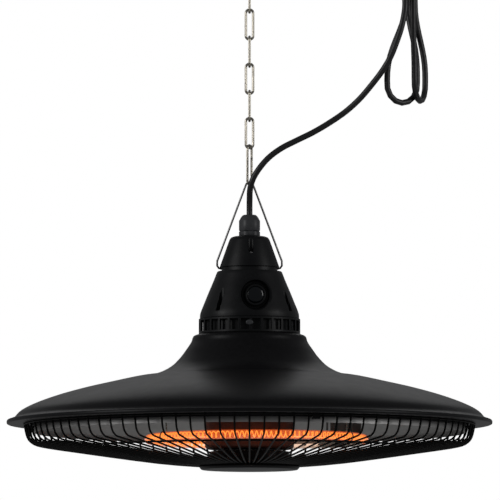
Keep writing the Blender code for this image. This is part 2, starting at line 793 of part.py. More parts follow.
def make_guard_clips(parent):
    """Small clips under the lip that grip the guard's rim hoop between two wires."""
    high = -LIP_THICKNESS / 2 - GAP
    hoop_high = GUARD_RIM_HEIGHT + GUARD_WIRE / 2 + GAP
    hoop_low = guard_stations()[1][1] - GUARD_WIRE / 2 - GAP
    inner = GUARD_RIM_RADIUS - GUARD_WIRE / 2
    back = GUARD_RIM_RADIUS + GUARD_WIRE / 2 + GAP
    outer = back + GUARD_CLIP_WALL
    low = hoop_low - GUARD_CLIP_WALL
    outline = [
        (inner, high),
        (outer, high),
        (outer, low),
        (inner, low),
        (inner, hoop_low),
        (back, hoop_low),
        (back, hoop_high),
        (inner, hoop_high),
    ]
    half_step = math.pi / GUARD_WIRES
    for n in range(GUARD_CLIP_COUNT):
        angle = GUARD_CLIP_ANGLE + 2 * math.pi * n / GUARD_CLIP_COUNT + half_step
        section_bar(f"guard_clip_{n + 1}", outline, GUARD_CLIP_WIDTH, angle, "powder_black", parent)


def dish_radius(radius, angle):
    """Distance from the heater's axis of a place on the lamp, which sits a little to one side."""
    return math.hypot(radius * math.cos(angle) + RING_SHIFT, radius * math.sin(angle))


def ring_place(angle, radius=RING_RADIUS, height=RING_HEIGHT):
    return Vector((radius * math.cos(angle), radius * math.sin(angle), height))


def make_quartz_ring(parent):
    """An open ring of tube, bored right through, with its gap at the back."""
    bm = bmesh.new()
    start = QUARTER_TURN + RING_END_ANGLE
    sweep = 2 * math.pi - 2 * RING_END_ANGLE
    outer_radius = RING_TUBE / 2
    inner_radius = outer_radius - RING_WALL
    rows = []
    for n in range(RING_STEPS + 1):
        angle = start + sweep * n / RING_STEPS
        row = []
        for radius in (outer_radius, inner_radius):
            for side in range(RING_SIDES):
                around = 2 * math.pi * (side + 0.5) / RING_SIDES
                out = RING_RADIUS + radius * math.cos(around)
                row.append(bm.verts.new(ring_place(angle, out, RING_HEIGHT + radius * math.sin(around))))
        rows.append((row[:RING_SIDES], row[RING_SIDES:]))
    for (outer_a, inner_a), (outer_b, inner_b) in zip(rows, rows[1:]):
        for side in range(RING_SIDES):
            m = (side + 1) % RING_SIDES
            bm.faces.new((outer_a[side], outer_a[m], outer_b[m], outer_b[side]))
            bm.faces.new((inner_a[side], inner_a[m], inner_b[m], inner_b[side]))
    for outer, inner in (rows[0], rows[-1]):
        for side in range(RING_SIDES):
            m = (side + 1) % RING_SIDES
            bm.faces.new((outer[side], outer[m], inner[m], inner[side]))
    return mesh_node("quartz_ring", bm, "quartz", parent)


def coil_points():
    """The heating coil's helix, bent round the ring inside the tube."""
    start = QUARTER_TURN + COIL_END_ANGLE
    sweep = 2 * math.pi - 2 * COIL_END_ANGLE
    count = COIL_CURLS * COIL_POINTS_PER_CURL
    points = []
    for n in range(count + 1):
        angle = start + sweep * n / count
        around = 2 * math.pi * n / COIL_POINTS_PER_CURL
        radius = RING_RADIUS + COIL_RADIUS * math.cos(around)
        points.append(ring_place(angle, radius, RING_HEIGHT + COIL_RADIUS * math.sin(around)))
    return points


def least_self_gap(points, diameter, apart):
    """Least clear distance between parts of one tube that lie at least apart from each other along it."""
    lengths = [0.0]
    for here, there in zip(points, points[1:]):
        lengths.append(lengths[-1] + (there - here).length)
    least = math.inf
    for n, here in enumerate(points):
        for m in range(n + 1, len(points)):
            if lengths[m] - lengths[n] >= apart:
                least = min(least, (points[m] - here).length)
    return least - diameter


def make_heating_coil(parent):
    points = coil_points()
    gap = least_self_gap(points, COIL_WIRE, math.pi * COIL_RADIUS)
    print(f"heating_coil least gap to itself {gap / MM:.2f} mm")
    return wire("heating_coil", points, COIL_WIRE, "glowing", parent, resolution=1)


def lead_place(side):
    angle = QUARTER_TURN - side * ceramic_middle_angle()
    spot = ring_place(angle)
    return spot.x, spot.y


def ceramic_middle_angle():
    return RING_END_ANGLE - (GAP + CERAMIC_LENGTH / 2) / RING_RADIUS


def make_ceramic_ends(parent):
    """Blocks that close the two ends of the ring's tube."""
    for side in (-1, 1):
        angle = QUARTER_TURN - side * ceramic_middle_angle()
        bm = bmesh.new()
        bmesh.ops.create_cube(bm, size=1)
        size = (CERAMIC_SIZE, CERAMIC_LENGTH, CERAMIC_SIZE)
        bmesh.ops.scale(bm, vec=size, verts=bm.verts)
        bm.transform(Matrix.Translation(ring_place(angle)) @ Matrix.Rotation(angle, 4, "Z"))
        made = mesh_node(f"ceramic_end_{(side + 3) // 2}", bm, "ceramic", parent, flat=True)
        soften(made, EDGE_CHAMFER)


def make_lamp_bracket(parent):
    """The plate behind the ceramic ends that carries them."""
    behind = RING_RADIUS + CERAMIC_SIZE / 2 + GAP + BRACKET_WALL / 2
    low = RING_HEIGHT - CERAMIC_SIZE / 2
    far = dish_radius(behind + BRACKET_WALL, QUARTER_TURN + RING_TURN)
    high = dish_height(far) - REFLECTOR_WALL * 2 - GAP
    size = (BRACKET_WIDTH, BRACKET_WALL, high - low)
    box("lamp_bracket", size, (0, behind, (low + high) / 2), "steel", parent)


def make_lamp_leads(parent):
    """Wires from the ceramic ends through the reflector and the shade's neck to the terminals."""
    axis = Matrix.Rotation(-RING_TURN, 4, "Z") @ Vector((-RING_SHIFT, 0, 0))
    foot = RING_HEIGHT + CERAMIC_SIZE / 2 + GAP
    for side in (-1, 1):
        x, y = lead_place(side)
        end_x = axis.x + side * TERMINAL_SIZE[0] / 4
        route = [
            (x, y, foot),
            (x, y, dish_height(RING_RADIUS) + LEAD_DIAMETER),
            (x, y * LEAD_BEND_SHARES[0], REFLECTOR_TOP_HEIGHT + LEAD_RISE),
            (end_x, y * LEAD_BEND_SHARES[1], SHOULDER_HEIGHT),
            (end_x, axis.y, NECK_HEIGHT - LEAD_RISE),
            (end_x, axis.y, BASE_FOOT + BASE_THICKNESS),
        ]
        name = f"lamp_lead_{(side + 3) // 2}"
        wire(name, even_path(route, LEAD_STEP), LEAD_DIAMETER, "ceramic", parent, resolution=1)


def make_lamp_clips(parent):
    """Spring clips that hold the ring lamp under the reflector."""
    inner = RING_TUBE / 2 + 3 * GAP
    outer = inner + CLIP_WALL
    centre = (RING_RADIUS, RING_HEIGHT)
    stem = math.asin(CLIP_WALL / 2 / outer)
    near = CLIP_OPENING - QUARTER_TURN
    far = 3 * QUARTER_TURN - CLIP_OPENING
    for n, angle in enumerate(CLIP_ANGLES):
        top = dish_height(dish_radius(RING_RADIUS + CLIP_WALL, angle)) - REFLECTOR_WALL * 2 - GAP
        outline = arc(centre, outer, near, QUARTER_TURN - stem, CLIP_STEPS)
        outline += [(RING_RADIUS + CLIP_WALL / 2, top), (RING_RADIUS - CLIP_WALL / 2, top)]
        outline += arc(centre, outer, QUARTER_TURN + stem, far, CLIP_STEPS)
        outline += arc(centre, inner, far, near, 2 * CLIP_STEPS)
        section_bar(f"lamp_clip_{n + 1}", outline, CLIP_WIDTH, angle, "steel", parent)


def make_vent_collar(parent):
    middle = COLLAR_RADIUS - COLLAR_WALL / 2
    heights = (COLLAR_TOP, COLLAR_TOP - COLLAR_HOOP, COLLAR_FOOT + COLLAR_HOOP, COLLAR_FOOT)
    stations = [(middle, height) for height in heights]
    width = 2 * math.pi * middle / COLLAR_BARS * COLLAR_BAR_SHARE
    bm = lattice_bmesh(stations, COLLAR_BARS, [width] * len(stations), COLLAR_WALL, {0, len(stations) - 2})
    mesh_node("vent_collar", bm, "plastic_black", parent)
    centre = (0, -COLLAR_RADIUS - GAP - LATCH_SIZE[1] / 2, COLLAR_TOP - LATCH_SIZE[2] / 2)
    box("collar_latch", LATCH_SIZE, centre, "plastic_grey", parent, bevel=GAP)


def housing_outline():
    """Half section of the lower housing's shell with its spigot."""
    foot = (HOUSING_FOOT_RADIUS, HOUSING_FOOT)
    outer = between(HOUSING_BULGE_SHARES, foot, (HOUSING_TOP_RADIUS, HOUSING_TOP))
    inner = [(radius - HOUSING_WALL, height) for radius, height in outer[:-2]]
    roof = HOUSING_TOP - HOUSING_WALL
    bore = SPIGOT_RADIUS - SPIGOT_WALL
    rise = HOUSING_TOP + SPIGOT_HEIGHT
    spigot = [(SPIGOT_RADIUS, HOUSING_TOP), (SPIGOT_RADIUS, rise), (bore, rise), (bore, roof)]
    return outer + spigot + inner[::-1]


def housing_radius(height):
    """Outer radius of the lower housing at a height above its foot."""
    share = height / HOUSING_HEIGHT
    for (across, low), (further, high) in zip(HOUSING_BULGE_SHARES, HOUSING_BULGE_SHARES[1:]):
        if low <= share <= high:
            part = (share - low) / (high - low)
            turn = across + (further - across) * part
            return HOUSING_FOOT_RADIUS + (HOUSING_TOP_RADIUS - HOUSING_FOOT_RADIUS) * turn
    return HOUSING_TOP_RADIUS


def facing(angle, radius, height):
    """A place at an angle round the housing, counted from its front."""
    return Vector((radius * math.sin(angle), -radius * math.cos(angle), height))


def boss_radius():
    return CHANNEL_AXIS_RADIUS - BOSS_INSET - BOSS_RADIUS / 2


def button_tool(name, radius, low, high, sides, parent):
    """A round pad or cutter on the push button's axis."""
    outline = disc_outline(radius, low, high)
    place = (0, 0, HOUSING_FOOT + BUTTON_HEIGHT)
    return turned(name, outline, sides, "plastic_black", parent, at=place, turn=TO_FRONT)


def make_housing(parent):
    """The conical shell with the button's pad and recess, bosses, screw channels and bail holes."""
    made = turned("lower_housing", housing_outline(), HOUSING_SIDES, "plastic_black", parent)
    pad_low = RECESS_FLOOR - PAD_THICKNESS
    pad_high = housing_radius(BUTTON_HEIGHT) - HOUSING_WALL / 2
    pad_radius = RECESS_RADIUS + HOUSING_WALL
    combine(made, button_tool("button_pad", pad_radius, pad_low, pad_high, PAD_SIDES, parent), "UNION")
    boss = disc_outline(BOSS_RADIUS, HOUSING_FOOT + BASE_THICKNESS + 2 * GAP, HOUSING_FOOT + BOSS_HEIGHT)
    for n, angle in enumerate(CHANNEL_ANGLES):
        place = facing(angle, boss_radius(), 0)
        tool = turned(f"boss_{n + 1}", boss, PIN_SIDES, "plastic_black", parent, at=place)
        combine(made, tool, "UNION")
    mouth = HOUSING_FOOT_RADIUS + OVERRUN
    recess = button_tool("button_recess", RECESS_RADIUS, RECESS_FLOOR, mouth, PLATE_SIDES, parent)
    combine(made, recess, "DIFFERENCE")
    hole_radius = BUTTON_STEM_RADIUS + GAP
    hole = button_tool(
        "stem_hole", hole_radius, pad_low - OVERRUN, HOUSING_FOOT_RADIUS, SCREW_SIDES, parent
    )
    combine(made, hole, "DIFFERENCE")
    channel = disc_outline(CHANNEL_RADIUS, HOUSING_FOOT + CHANNEL_FLOOR, HOUSING_TOP)
    for n, angle in enumerate(CHANNEL_ANGLES):
        place = facing(angle, CHANNEL_AXIS_RADIUS, 0)
        tool = turned(f"channel_{n + 1}", channel, PIN_SIDES, "plastic_black", parent, at=place)
        combine(made, tool, "DIFFERENCE")
    pivot = disc_outline(BAIL_WIRE / 2 + GAP, BAIL_FOOT_END - OVERRUN, HOUSING_TOP_RADIUS)
    for n, side in enumerate((-1, 1)):
        sideways = Matrix.Rotation(-HOUSING_YAW, 4, "Z") @ Matrix.Rotation(side * QUARTER_TURN, 4, "Y")
        place = (0, 0, PIVOT_HEIGHT)
        name = f"pivot_hole_{n + 1}"
        tool = turned(name, pivot, SCREW_SIDES, "plastic_black", parent, at=place, turn=sideways)
        combine(made, tool, "DIFFERENCE")
    return made


def head_outline(seat, radius=SCREW_HEAD_RADIUS, height=SCREW_HEAD_HEIGHT):
    """Half section of a pan head that seats at a height. The shank is hidden in the boss."""
    return [
        (0, seat + height),
        (radius * PAN_HEAD_SHARE, seat + height),
        (radius, seat + height / 2),
        (radius, seat),
        (0, seat),
    ]


def make_housing_screws(parent):
    """Screws that lie at the foot of the two front channels."""
    seat = HOUSING_FOOT + CHANNEL_FLOOR + GAP
    for n, angle in enumerate(CHANNEL_ANGLES):
        place = facing(angle, CHANNEL_AXIS_RADIUS, 0)
        turned(f"housing_screw_{n + 1}", head_outline(seat), SCREW_SIDES, "zinc", parent, at=place)


def make_button(parent):
    seat = (0, 0, HOUSING_FOOT + BUTTON_HEIGHT)
    bezel_low = RECESS_FLOOR + GAP
    bezel_high = bezel_low + BEZEL_THICKNESS
    bezel = [
        (BUTTON_RADIUS + GAP, bezel_high - BUTTON_CROWN),
        (BUTTON_RADIUS + BUTTON_CROWN, bezel_high),
        (BEZEL_RADIUS - BUTTON_CROWN, bezel_high),
        (BEZEL_RADIUS, bezel_high - BUTTON_CROWN),
        (BEZEL_RADIUS, bezel_low),
        (BUTTON_RADIUS + GAP, bezel_low),
    ]
    turned("button_bezel", bezel, BUTTON_SIDES, "plastic_grey", parent, at=seat, turn=TO_FRONT)
    back = RECESS_FLOOR + BUTTON_TRAVEL + GAP
    front = back + BUTTON_THICKNESS
    stem_end = back - BUTTON_STEM_LENGTH
    button = [
        (0, front + BUTTON_CROWN),
        (BUTTON_RADIUS / 2, front + BUTTON_CROWN * BUTTON_CROWN_SHARE),
        (BUTTON_RADIUS, front),
        (BUTTON_RADIUS, back),
        (BUTTON_STEM_RADIUS, back),
        (BUTTON_STEM_RADIUS, stem_end),
        (0, stem_end),
    ]
    turned("push_button", button, BUTTON_SIDES, "button_gloss", parent, at=seat, turn=TO_FRONT)


def make_inner_pieces(parent):
    """Base plate, control board, push switch, terminal block and thermal cut-out."""
    floor = BASE_FOOT + BASE_THICKNESS
    base_radius = HOUSING_FOOT_RADIUS - 2 * HOUSING_WALL
    base = ring_outline(BASE_HOLE_RADIUS, base_radius, BASE_FOOT, floor)
    turned("base_plate", base, PLATE_SIDES, "steel", parent)
    stem_end = RECESS_FLOOR + BUTTON_TRAVEL + GAP - BUTTON_STEM_LENGTH
    switch_front = stem_end - BUTTON_TRAVEL - GAP
    board_front = switch_front - SWITCH_SIZE - GAP
    switch_centre = (0, -(switch_front - SWITCH_SIZE / 2), HOUSING_FOOT + BUTTON_HEIGHT)
    box("push_switch", (SWITCH_SIZE,) * 3, switch_centre, "plastic_grey", parent)
    board_centre = (0, -(board_front - BOARD_SIZE[1] / 2), floor + GAP + BOARD_SIZE[2] / 2)
    box("control_board", BOARD_SIZE, board_centre, "board", parent)
    terminal_centre = (0, 0, floor + GAP + TERMINAL_SIZE[2] / 2)
    box("terminal_block", TERMINAL_SIZE, terminal_centre, "ceramic", parent, bevel=GAP)
    cutout = disc_outline(CUTOUT_RADIUS, floor + GAP, floor + GAP + CUTOUT_HEIGHT, chamfer=EDGE_CHAMFER)
    turned("thermal_cutout", cutout, PLUG_SIDES, "steel", parent, at=(*CUTOUT_PLACE, 0))


def cap_outline():
    """Half section of the top cap, hollow over the spigot and bored for the gland."""
    bore_top = CAP_TOP - CAP_TOP_WALL
    ledge = HOUSING_TOP + SPIGOT_HEIGHT + GAP
    round_radius = CAP_SHOULDER_RADIUS - (CAP_SHOULDER_RADIUS - CAP_CROWN_RADIUS) / 3
    return [
        (CAP_FOOT_RADIUS, CAP_FOOT),
        (CAP_SHOULDER_RADIUS, CAP_FOOT + CAP_SHOULDER_HEIGHT),
        (round_radius, CAP_TOP - (CAP_HEIGHT - CAP_SHOULDER_HEIGHT) / 3),
        (CAP_CROWN_RADIUS, CAP_TOP),
        (GLAND_THREAD_RADIUS + GAP, CAP_TOP),
        (GLAND_THREAD_RADIUS + GAP, bore_top),
        (CAP_BORE_RADIUS, bore_top),
        (CAP_BORE_RADIUS, ledge),
        (SPIGOT_RADIUS + GAP, ledge),
        (SPIGOT_RADIUS + GAP, CAP_FOOT),
    ]


def make_cap(parent):
    made = turned("top_cap", cap_outline(), CAP_SIDES, "plastic_black", parent)
    slot = disc_outline(SLOT_RADIUS, CAP_FOOT + SLOT_FLOOR, CAP_TOP + OVERRUN)
    place = facing(0, SLOT_AXIS_RADIUS, 0)
    combine(made, turned("cap_slot", slot, PLUG_SIDES, "plastic_black", parent, at=place), "DIFFERENCE")
    seat = CAP_FOOT + SLOT_FLOOR + GAP
    turned("cap_screw", head_outline(seat), SCREW_SIDES, "zinc", parent, at=place)


def make_gland(parent):
    """The cord gland's body and nut, and the cord inside them down to the terminals."""
    foot = CAP_TOP + GAP
    body_top = foot + GLAND_BODY_HEIGHT
    thread_end = CAP_TOP - CAP_TOP_WALL
    body = [
        (GLAND_BODY_BORE, body_top),
        (GLAND_NUT_RADIUS, body_top),
        (GLAND_NUT_RADIUS, foot),
        (GLAND_THREAD_RADIUS, foot),
        (GLAND_THREAD_RADIUS, thread_end),
        (GLAND_BODY_BORE, thread_end),
    ]
    turned("gland_body", body, SCREW_SIDES, "plastic_grey", parent)
    nut_foot = body_top + GAP
    nut_top = nut_foot + GLAND_NUT_HEIGHT
    ceiling = nut_top - GLAND_TOP_WALL
    hole = CORD_DIAMETER / 2 + GAP
    nut = [
        (GLAND_NUT_RADIUS, nut_foot),
        (GLAND_NUT_RADIUS, nut_top - GLAND_DOME_HEIGHT),
        (GLAND_DOME_RADIUS, nut_top),
        (hole, nut_top),
        (hole, ceiling),
        (GLAND_NUT_BORE, ceiling),
        (GLAND_NUT_BORE, nut_foot),
    ]
    turned("gland_nut", nut, SCREW_SIDES, "plastic_grey", parent)
    lower = BASE_FOOT + BASE_THICKNESS + GAP + TERMINAL_SIZE[2] + GAP
    upper = ceiling - GAP
    inner = [(0, 0, upper), (0, 0, (upper + lower) / 2), (0, 0, lower)]
    wire("inner_cord", inner, INNER_CORD_DIAMETER, "rubber", parent)


def mirrored_path(half):
    """A route from its left end to the right, given its left half up to the middle point."""
    return half + [(-x, y, z) for x, y, z in reversed(half[:-1])]


def make_bail(parent):
    """The wire hanger, drawn about the axis through its feet."""
    bend = BAIL_HALF_WIDTH - BAIL_FOOT_END
    corner_in, corner_up, elbow_up, crown_out, crown_down = BAIL_BEND_SHARES
    feet = [
        (-BAIL_FOOT_END, 0, 0),
        (-BAIL_FOOT_END - bend / 2, 0, 0),
        (-BAIL_HALF_WIDTH + bend * corner_in, 0, BAIL_ELBOW_HEIGHT * corner_up),
        (-BAIL_HALF_WIDTH, 0, BAIL_ELBOW_HEIGHT * elbow_up),
        (-BAIL_HALF_WIDTH, 0, BAIL_ELBOW_HEIGHT),
    ]
    top = [
        (-BAIL_TOP_HALF_WIDTH, 0, BAIL_HEIGHT - BAIL_TOP_DROP),
        (-BAIL_TOP_HALF_WIDTH * crown_out, 0, BAIL_HEIGHT - BAIL_TOP_DROP * crown_down),
        (0, 0, BAIL_HEIGHT),
    ]
    return wire("bail", mirrored_path(feet + top), BAIL_WIRE, "steel", parent)


def oval_points(length, width):
    """A link's centre line in X and Z: two half circles joined by straight sides, bottom bow at zero."""
    radius = width / 2
    lower = arc((0, radius), radius, math.pi, 2 * math.pi, BOW_STEPS)
    upper = arc((0, length - radius), radius, 0, math.pi, BOW_STEPS)
    return [(x, 0, z) for x, z in lower + upper]


def make_snap_hook(parent):
    """An oval snap hook, open on its right side where the gate closes it, drawn from its top bow down."""
    radius = SNAP_WIDTH / 2
    gate_top = arc((0, SNAP_LENGTH - radius), radius, 0, math.pi, SNAP_BOW_STEPS)
    lower = arc((0, radius), radius, math.pi, 2 * math.pi, SNAP_BOW_STEPS)
    nose = [(radius, GATE_HIGH + GAP)]
    heel = [(radius, GATE_LOW - GAP)]
    outline = nose + gate_top + lower + heel
    points = [(x, 0, z - SNAP_LENGTH) for x, z in outline]
    return wire("snap_hook", points, SNAP_WIRE, "zinc", parent, resolution=1)


def make_gate(parent):
    """The hook's sprung gate, drawn up from its hinge, with a foot slim enough to swing."""
    length = GATE_HIGH - GATE_LOW
    radius = SNAP_WIRE / 2
    outline = [(0, length), (radius, length), (radius, GATE_TAPER), (GATE_FOOT_RADIUS, 0), (0, 0)]
    return turned("snap_gate", outline, PIN_SIDES, "zinc", parent)


def make_chain(datum):
    """Links from the ceiling hook down, each turned a quarter from the one above."""
    for n in range(LINK_COUNT):
        link_top = HIGHEST_LINK_TOP - n * LINK_PITCH
        joint = holder(f"link_joint_{n + 1}", datum, (0, 0, hinge_height(n)))
        points = [
            (x, y, z + link_top - LINK_LENGTH - hinge_height(n))
            for x, y, z in oval_points(LINK_LENGTH, LINK_WIDTH)
        ]
        link = wire(f"chain_link_{n + 1}", points, CHAIN_WIRE, "zinc", joint, closed=True, resolution=1)
        if n % 2:
            link.rotation_euler = (0, 0, QUARTER_TURN)


def hinge_height(n):
    """Height of the wire that a link hangs on."""
    if n == 0:
        return HOOK_BOTTOM
    return HIGHEST_LINK_TOP - (n - 1) * LINK_PITCH - LINK_LENGTH


def holder(name, parent, place, yaw=0.0):
    """An empty on a joint's axis that carries what turns about it."""
    made = bpy.data.objects.new(name, None)
    bpy.context.collection.objects.link(made)
    made.location = place
    made.rotation_euler = (0, 0, yaw)
    made.parent = parent
    return made


def make_ceiling_plate(parent):
    """The plate on the ceiling and its two screw heads."""
    plate = disc_outline(PLATE_RADIUS, PLATE_FOOT, RIM_DROP, chamfer=EDGE_CHAMFER)
    turned("ceiling_plate", plate, PLATE_SIDES, "zinc", parent)
    seat = PLATE_FOOT - GAP
    outline = [
        (0, seat),
        (PLATE_SCREW_HEAD_RADIUS, seat),
        (PLATE_SCREW_HEAD_RADIUS * PAN_HEAD_SHARE, seat - PLATE_SCREW_HEAD_HEIGHT),
        (0, seat - PLATE_SCREW_HEAD_HEIGHT),
    ]
    for n, side in enumerate((-1, 1)):
        place = (side * PLATE_SCREW_OFFSET, 0, 0)
        turned(f"plate_screw_{n + 1}", outline, SCREW_SIDES, "steel", parent, at=place)


def make_ceiling_hook(parent):
    """The open hook under the plate, whose bowl carries the highest link."""
    middle = HOOK_BOTTOM + HOOK_BOWL_RADIUS
    neck_low, neck_high, neck_out = (HOOK_BOWL_RADIUS * share for share in HOOK_NECK_SHARES)
    bowl = arc((0, middle), HOOK_BOWL_RADIUS, 2 * math.pi, math.pi, HOOK_STEPS)
    points = [(0, 0, PLATE_FOOT - GAP), (0, 0, middle + neck_high), (0, neck_out, middle + neck_low)]
    points += [(0, y, z) for y, z in bowl]
    points += [(0, -HOOK_BOWL_RADIUS, middle + HOOK_TIP_RISE)]
    wire("ceiling_hook", points, HOOK_WIRE, "zinc", parent, resolution=1)


def make_cord_hook(parent):
    """A screw hook in the ceiling whose arm carries the hank."""
    axis = hank_axis()
    rise = Vector((0, 0, CORD_HOOK_BEND))
    bend = axis * CORD_HOOK_BEND
    middle = Vector((CORD_HOOK_X, 0, CORD_HOOK_ARM_HEIGHT))
    heel = middle - axis * CORD_HOOK_BACK
    toe = middle + axis * CORD_HOOK_FRONT
    points = [Vector((heel.x, heel.y, RIM_DROP)), heel + 2 * rise, heel + rise]
    points += [heel + (rise + bend) * CORD_HOOK_CORNER_SHARE, heel + bend, middle]
    points += [toe - bend, toe + (rise - bend) * CORD_HOOK_CORNER_SHARE, toe + rise]
    points += [toe + Vector((0, 0, CORD_HOOK_TIP_RISE))]
    wire("cord_hook", points, CORD_HOOK_WIRE, "zinc", parent)


def hank_axis():
    """The way along the cord hook's arm, towards the viewer."""
    return Vector((math.sin(HANK_TOP_YAW), -math.cos(HANK_TOP_YAW), 0))


def stadium(phase, radius, run):
    """A loop's place across and up, and its share of the way down, for a phase from 0 to 1 from the top."""
    total = 2 * math.pi * radius + 2 * run
    along = (phase % 1) * total
    quarter = math.pi * radius / 2
    if along < quarter:
        angle = along / radius
        return radius * math.sin(angle), radius * math.cos(angle) - radius
    along -= quarter
    if along < run:
        return radius, -radius - along
    along -= run
    if along < 2 * quarter:
        angle = along / radius
        return radius * math.cos(angle), -radius - run - radius * math.sin(angle)
    along -= 2 * quarter
    if along < run:
        return -radius, -radius - run + along
    along -= run
    angle = along / radius
    return -radius * math.cos(angle), -radius + radius * math.sin(angle)


def eased(share):
    return share * share * (3 - 2 * share)


def pick(values, place):
    """Read a table between its entries, holding its first and last."""
    low = max(0, min(len(values) - 1, math.floor(place)))
    high = min(len(values) - 1, low + 1)
    share = min(max(place - low, 0), 1)
    return values[low] + (values[high] - values[low]) * eased(share)


def hank_point(turn):
    """A place on the hank's centre line, counted in loops from the top of the first."""
    top = CORD_HOOK_ARM_HEIGHT + (CORD_HOOK_WIRE + CORD_DIAMETER) / 2 + GAP
    run = top - HANK_BOTTOM - 2 * HANK_FOLD_RADIUS
    across, down = stadium(turn, HANK_FOLD_RADIUS, run)
    fan = (HANK_FAN_TOP - top - down) / (HANK_FAN_TOP - HANK_FAN_FOOT)
    share = eased(min(max(fan, 0), 1))
    loop = turn - 0.5
    yaw = HANK_TOP_YAW + (pick(HANK_YAWS, loop) - HANK_TOP_YAW) * share
    reach = HANK_PITCH * (turn - HANK_LOOPS / 2)
    reach += HANK_END_SHIFT * eased(min(max((turn - HANK_LOOPS + HANK_LEAD_SHARE) / HANK_END_SHARE, 0), 1))
    high = Vector((CORD_HOOK_X, 0, 0)) + hank_axis() * reach
    low = Vector([pick([place[n] for place in HANK_BOTTOM_PLACES], loop) for n in range(3)])
    out = Vector((math.cos(yaw), math.sin(yaw), 0))
    return high.lerp(low, share) + out * across + Vector((0, 0, top + down))


def hank_points():
    """Loops side by side over the hook's arm, fanned out at the bottom, with a short straight end."""
    first = -2
    last = HANK_LOOPS * HANK_POINTS_PER_LOOP + 2
    steps = list(range(first, last)) + [last - HANK_STUB_SHARE, last]
    return [hank_point(n / HANK_POINTS_PER_LOOP) for n in steps]


def make_cord(parent):
    """The free stretch from the gland, and the hank with its tie and plug."""
    hank = hank_points()
    way = (hank[1] - hank[0]).normalized()
    route = [Vector(p) for p in CORD_ROUTE]
    lead_in = [hank[0] - way * (CORD_STEP + GAP), hank[0] - way * GAP]
    free = even_path(route + lead_in, CORD_STEP)
    wire("power_cord", free, CORD_DIAMETER, "rubber", parent)
    wire("cord_hank", hank, CORD_DIAMETER, "rubber", parent, resolution=1)
    gap = least_self_gap(hank, CORD_DIAMETER, math.pi * HANK_FOLD_RADIUS)
    print(f"cord_hank least gap to itself {gap / MM:.2f} mm")
    print(f"cord length {path_length(free) + path_length(hank):.3f} m")
    make_tie(parent)
    make_plug(parent, hank[-1])


def path_length(points):
    return sum((there - here).length for here, there in zip(points, points[1:]))


def make_tie(parent):
    """A flat band round the strands behind the hook, close under their folds."""
    top = CORD_HOOK_ARM_HEIGHT + (CORD_HOOK_WIRE + CORD_DIAMETER) / 2 + GAP
    middle = top - HANK_FOLD_RADIUS - TIE_DROP
    run = top - HANK_BOTTOM - 2 * HANK_FOLD_RADIUS
    whole = 2 * math.pi * HANK_FOLD_RADIUS + 2 * run
    turn = (math.pi * HANK_FOLD_RADIUS / 2 + TIE_DROP) / whole
    first = hank_point(turn)
    last = hank_point(HANK_LOOPS - 1 + turn)
    way = (first - last).normalized()
    side = Vector((-way.y, way.x, 0))
    inner = CORD_DIAMETER / 2 + GAP + TIE_SLACK / 2
    rows = []
    for radius in (inner, inner + TIE_WALL):
        row = []
        for centre, start in ((first, -math.pi / 2), (last, math.pi / 2)):
            for n in range(TIE_STEPS + 1):
                angle = start + math.pi * n / TIE_STEPS
                row.append(centre + (way * math.cos(angle) + side * math.sin(angle)) * radius)
        rows.append(row)
    bm = bmesh.new()
    low = middle - TIE_HEIGHT / 2
    high = middle + TIE_HEIGHT / 2
    edges = ((rows[0], low), (rows[1], low), (rows[1], high), (rows[0], high))
    rings = [[bm.verts.new((p.x, p.y, height)) for p in row] for row, height in edges]
    for here, there in zip(rings, rings[1:] + rings[:1]):
        for n in range(len(here)):
            m = (n + 1) % len(here)
            bm.faces.new((here[n], here[m], there[m], there[n]))
    mesh_node("cord_tie", bm, "rubber", parent)


def make_plug(parent, end):
    """The plug that hangs on the cord's end, with its two pins."""
    low = end.z - GAP
    relief_foot = low - PLUG_RELIEF_LENGTH
    body_foot = relief_foot - PLUG_LENGTH
    body = [
        (0, low),
        (PLUG_RELIEF_RADIUS, low),
        (PLUG_RELIEF_RADIUS + EDGE_CHAMFER, relief_foot),
        (PLUG_RADIUS * PLUG_NECK_SHARE, relief_foot),
        (PLUG_RADIUS, relief_foot - PLUG_LENGTH / 3),
        (PLUG_RADIUS, body_foot),
        (0, body_foot),
    ]
    turned("plug_body", body, PLUG_SIDES, "rubber", parent, at=(end.x, end.y, 0))
    for n, side in enumerate((-1, 1)):
        pin = [
            (0, body_foot - GAP),
            (PIN_RADIUS, body_foot - GAP),
            (PIN_RADIUS, body_foot - GAP - PIN_LENGTH + PIN_RADIUS / 2),
            (PIN_RADIUS / 2, body_foot - GAP - PIN_LENGTH),
            (0, body_foot - GAP - PIN_LENGTH),
        ]
        place = (end.x + side * PIN_SPACING / 2, end.y, 0)
        turned(f"plug_pin_{n + 1}", pin, PIN_SIDES, "zinc", parent, at=place)


